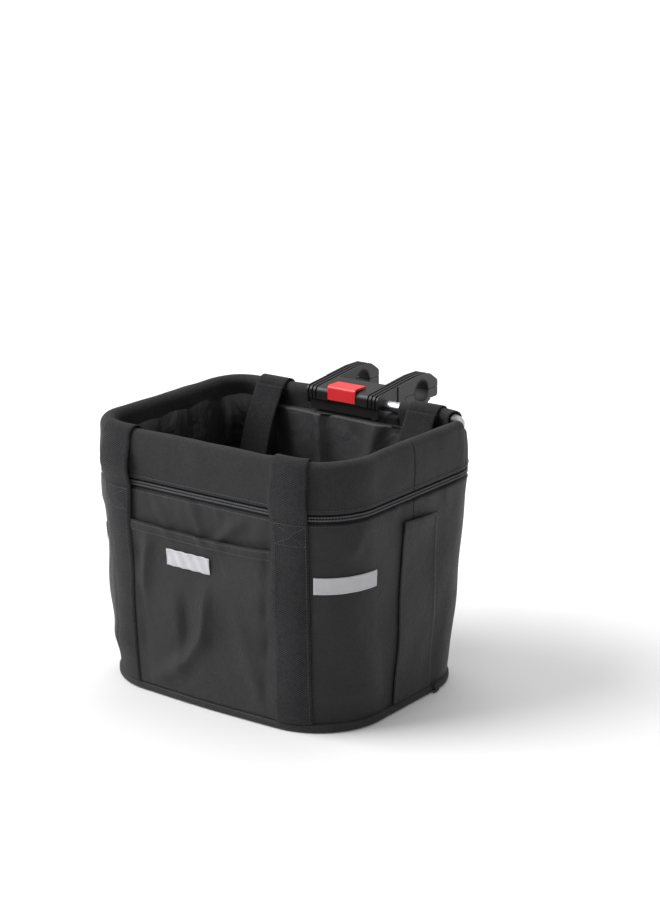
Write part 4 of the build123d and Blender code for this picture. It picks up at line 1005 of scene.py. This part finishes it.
def sewing(name, rows, material, body, slot, fold_top=None):
    """One piece from many rows of stitches."""
    points, faces, total = [], [], 0
    for row_points, row_faces in rows:
        points.append(row_points)
        faces.append(row_faces + total)
        total += len(row_points)
    faces = [face[:3] if face[2] == face[3] else face for face in np.concatenate(faces).tolist()]
    mesh = bpy.data.meshes.new(name)
    mesh.from_pydata(np.concatenate(points).tolist(), [], faces)
    mesh.materials.append(material)
    piece = placed(name, mesh)
    belongs(piece, body, slot)
    if fold_top is not None:
        crumple(piece)


def on_wall(u, z, lift):
    points, normals = wall_point(u, z, wall_swell(u, z) + lift)
    return points.reshape(-1, 3), normals.reshape(-1, 3)


loop_u = even_u(900)
row_z = COLLAR_LOW + 0.0035
collar_line = rim_point(loop_u, COLLAR_OUT + 0.0003, row_z + 0 * loop_u)
_, flat_normal = rim_at(loop_u, 0.0)
outward = np.concatenate([flat_normal, 0 * flat_normal[:, :1]], 1)
rows = [stitches(collar_line, outward, closed=True)]
sewing("stitches_collar", rows, thread_shade, "basket", "collar_cloth")
rows = [stitches(*on_wall(loop_u, WALL_TOP - 0.0032 + 0 * loop_u, 0.0), closed=True)]
for u_seam in u_seams:
    z = np.linspace(WALL_TOP - 0.004, SEAM_STOP, 40)
    rows.append(stitches(*on_wall(u_at(run_at(u_seam) + 0.0035) + 0 * z, z, 0.0)))
sewing("stitches_wall", rows, thread_shade, "basket", "wall_cloth", WALL_TOP)


def lifted(u, z, lift, index, pitch=STITCH_PITCH):
    """Stitch row along one line of a panel's grid, on its own face."""
    points, normals = wall_point(u[index], z[index], lift[index])
    return stitches(points, normals, pitch=pitch)


rows = [lifted(pocket_u, pocket_z, pocket_lift, (1, slice(2, -2))),
        lifted(pocket_u, pocket_z, pocket_lift, (4, slice(2, -2)))]
for u, z, lift in side_panels.values():
    rows += [lifted(u, z, lift, index) for index in
             ((1, slice(1, -1)), (slice(1, -1), 1), (slice(1, -1), -2))]
sewing("stitches_pockets", rows, thread_shade, "basket", "wall_cloth", WALL_TOP)
rows = []
for u, z, lift in strips.values():
    rows += [lifted(u, z, lift, index, 0.0026) for index in
             ((1, slice(1, -1)), (-2, slice(1, -1)), (slice(1, -1), 1), (slice(1, -1), -2))]
sewing("stitches_strips", rows, grey_thread, "basket", "reflective_strip", WALL_TOP)
rows = []
BOX_ROWS = (1, 9)
for u, z, lift in strap_panels.values():
    rows += [lifted(u, z, lift, (slice(1, -1), 1)), lifted(u, z, lift, (slice(1, -1), -2))]
    rows += [lifted(u, z, lift, (row, slice(1, -1))) for row in BOX_ROWS]
    steps = np.arange(BOX_ROWS[0], BOX_ROWS[1] + 1)
    columns = np.round(np.linspace(1, 13, len(steps))).astype(int)
    rows += [lifted(u, z, lift, (steps, columns)), lifted(u, z, lift, (steps, columns[::-1]))]
sewing("stitches_straps", rows, thread_shade, "basket", "webbing", WALL_TOP)
line = np.concatenate([base_at(loop_u, -0.0002)[0], (BINDING_TOP - 0.0024 + 0 * loop_u)[:, None]], 1)
sewing("stitches_binding", [stitches(line, outward, closed=True)], thread_shade, "base", "binding_tape")

# ---------------------------------------- studio
# The basket stands on a pale painted floor, in soft light from above and in front on the left.
# The camera looks down on its front right corner from a little over two metres.
floor_z = CAD_BOX[LOW][2] - 0.0005
FLOOR_HALF = 14.0
floor_mesh = bpy.data.meshes.new("floor")
floor_corners = [(x * FLOOR_HALF, y * FLOOR_HALF, floor_z) for x, y in ((-1, -1), (1, -1), (1, 1), (-1, 1))]
floor_mesh.from_pydata(floor_corners, [], [(0, 1, 2, 3)])
floor = placed("floor", floor_mesh)
floor_paint, floor_shader = new_material("studio_floor_paint")
floor_shader.inputs["Base Color"].default_value = linear("#f6f6f6")
floor_shader.inputs["Roughness"].default_value = 0.9
floor_mesh.materials.append(floor_paint)

world = bpy.data.worlds.new("studio")
world.use_nodes = True
backdrop = world.node_tree.nodes["Background"]
backdrop.inputs["Color"].default_value = linear("#ffffff")
# The walls of the studio look white, but give only about half of that as light.
FILL = 0.55
seen = add(world, "ShaderNodeLightPath").outputs["Is Camera Ray"]
glow = add(world, "ShaderNodeMath", {1: 1 - FILL, 2: FILL}, {0: seen}, operation="MULTIPLY_ADD")
world.node_tree.links.new(glow.outputs[0], backdrop.inputs["Strength"])
bpy.context.scene.world = world
bpy.context.scene.view_settings.view_transform = "Standard"


def aimed(rows, place, back, roll=0.0):
    """Fills a matrix for a camera or lamp at place that looks against back, turned by roll."""
    back = back / np.linalg.norm(back)
    right = np.cross([0.0, 0.0, 1.0], back)
    right /= np.linalg.norm(right)
    up = np.cross(back, right)
    rows[:3, 0] = right * math.cos(roll) + up * math.sin(roll)
    rows[:3, 1] = up * math.cos(roll) - right * math.sin(roll)
    rows[:3, 2], rows[:3, 3] = back, place
    return rows.T.tolist()


LIGHT_AIM = np.array([0.0, -0.2, -0.15])
key_data = bpy.data.lights.new("window_light", "SUN")
key_data.energy, key_data.angle = 3.0, math.radians(45.0)
top_data = bpy.data.lights.new("top_softbox", "AREA")
top_data.shape, top_data.size, top_data.energy = "SQUARE", 1.4, 16.0
for data, place in ((key_data, (-2.1, -1.7, 1.9)), (top_data, (-0.3, 0.6, 2.1))):
    lamp = placed(data.name, data)
    lamp.matrix_world = aimed(np.eye(4), np.array(place), np.array(place) - LIGHT_AIM)

VIEW_AZIMUTH = math.radians(36.77)
VIEW_HEIGHT = math.radians(17.4)
VIEW_ROLL = math.radians(-0.28)
CAMERA_PLACE = np.array([1.3884, -1.9666, 0.6116])
camera_data = bpy.data.cameras.new("camera")
camera_data.lens = 86.12
camera_data.shift_x = 0.0006
camera_data.shift_y = 0.0576
camera = placed("camera", camera_data)
view_back = np.array([math.sin(VIEW_AZIMUTH) * math.cos(VIEW_HEIGHT),
                      -math.cos(VIEW_AZIMUTH) * math.cos(VIEW_HEIGHT), math.sin(VIEW_HEIGHT)])
camera.matrix_world = aimed(np.eye(4), CAMERA_PLACE, view_back, VIEW_ROLL)
bpy.context.scene.camera = camera
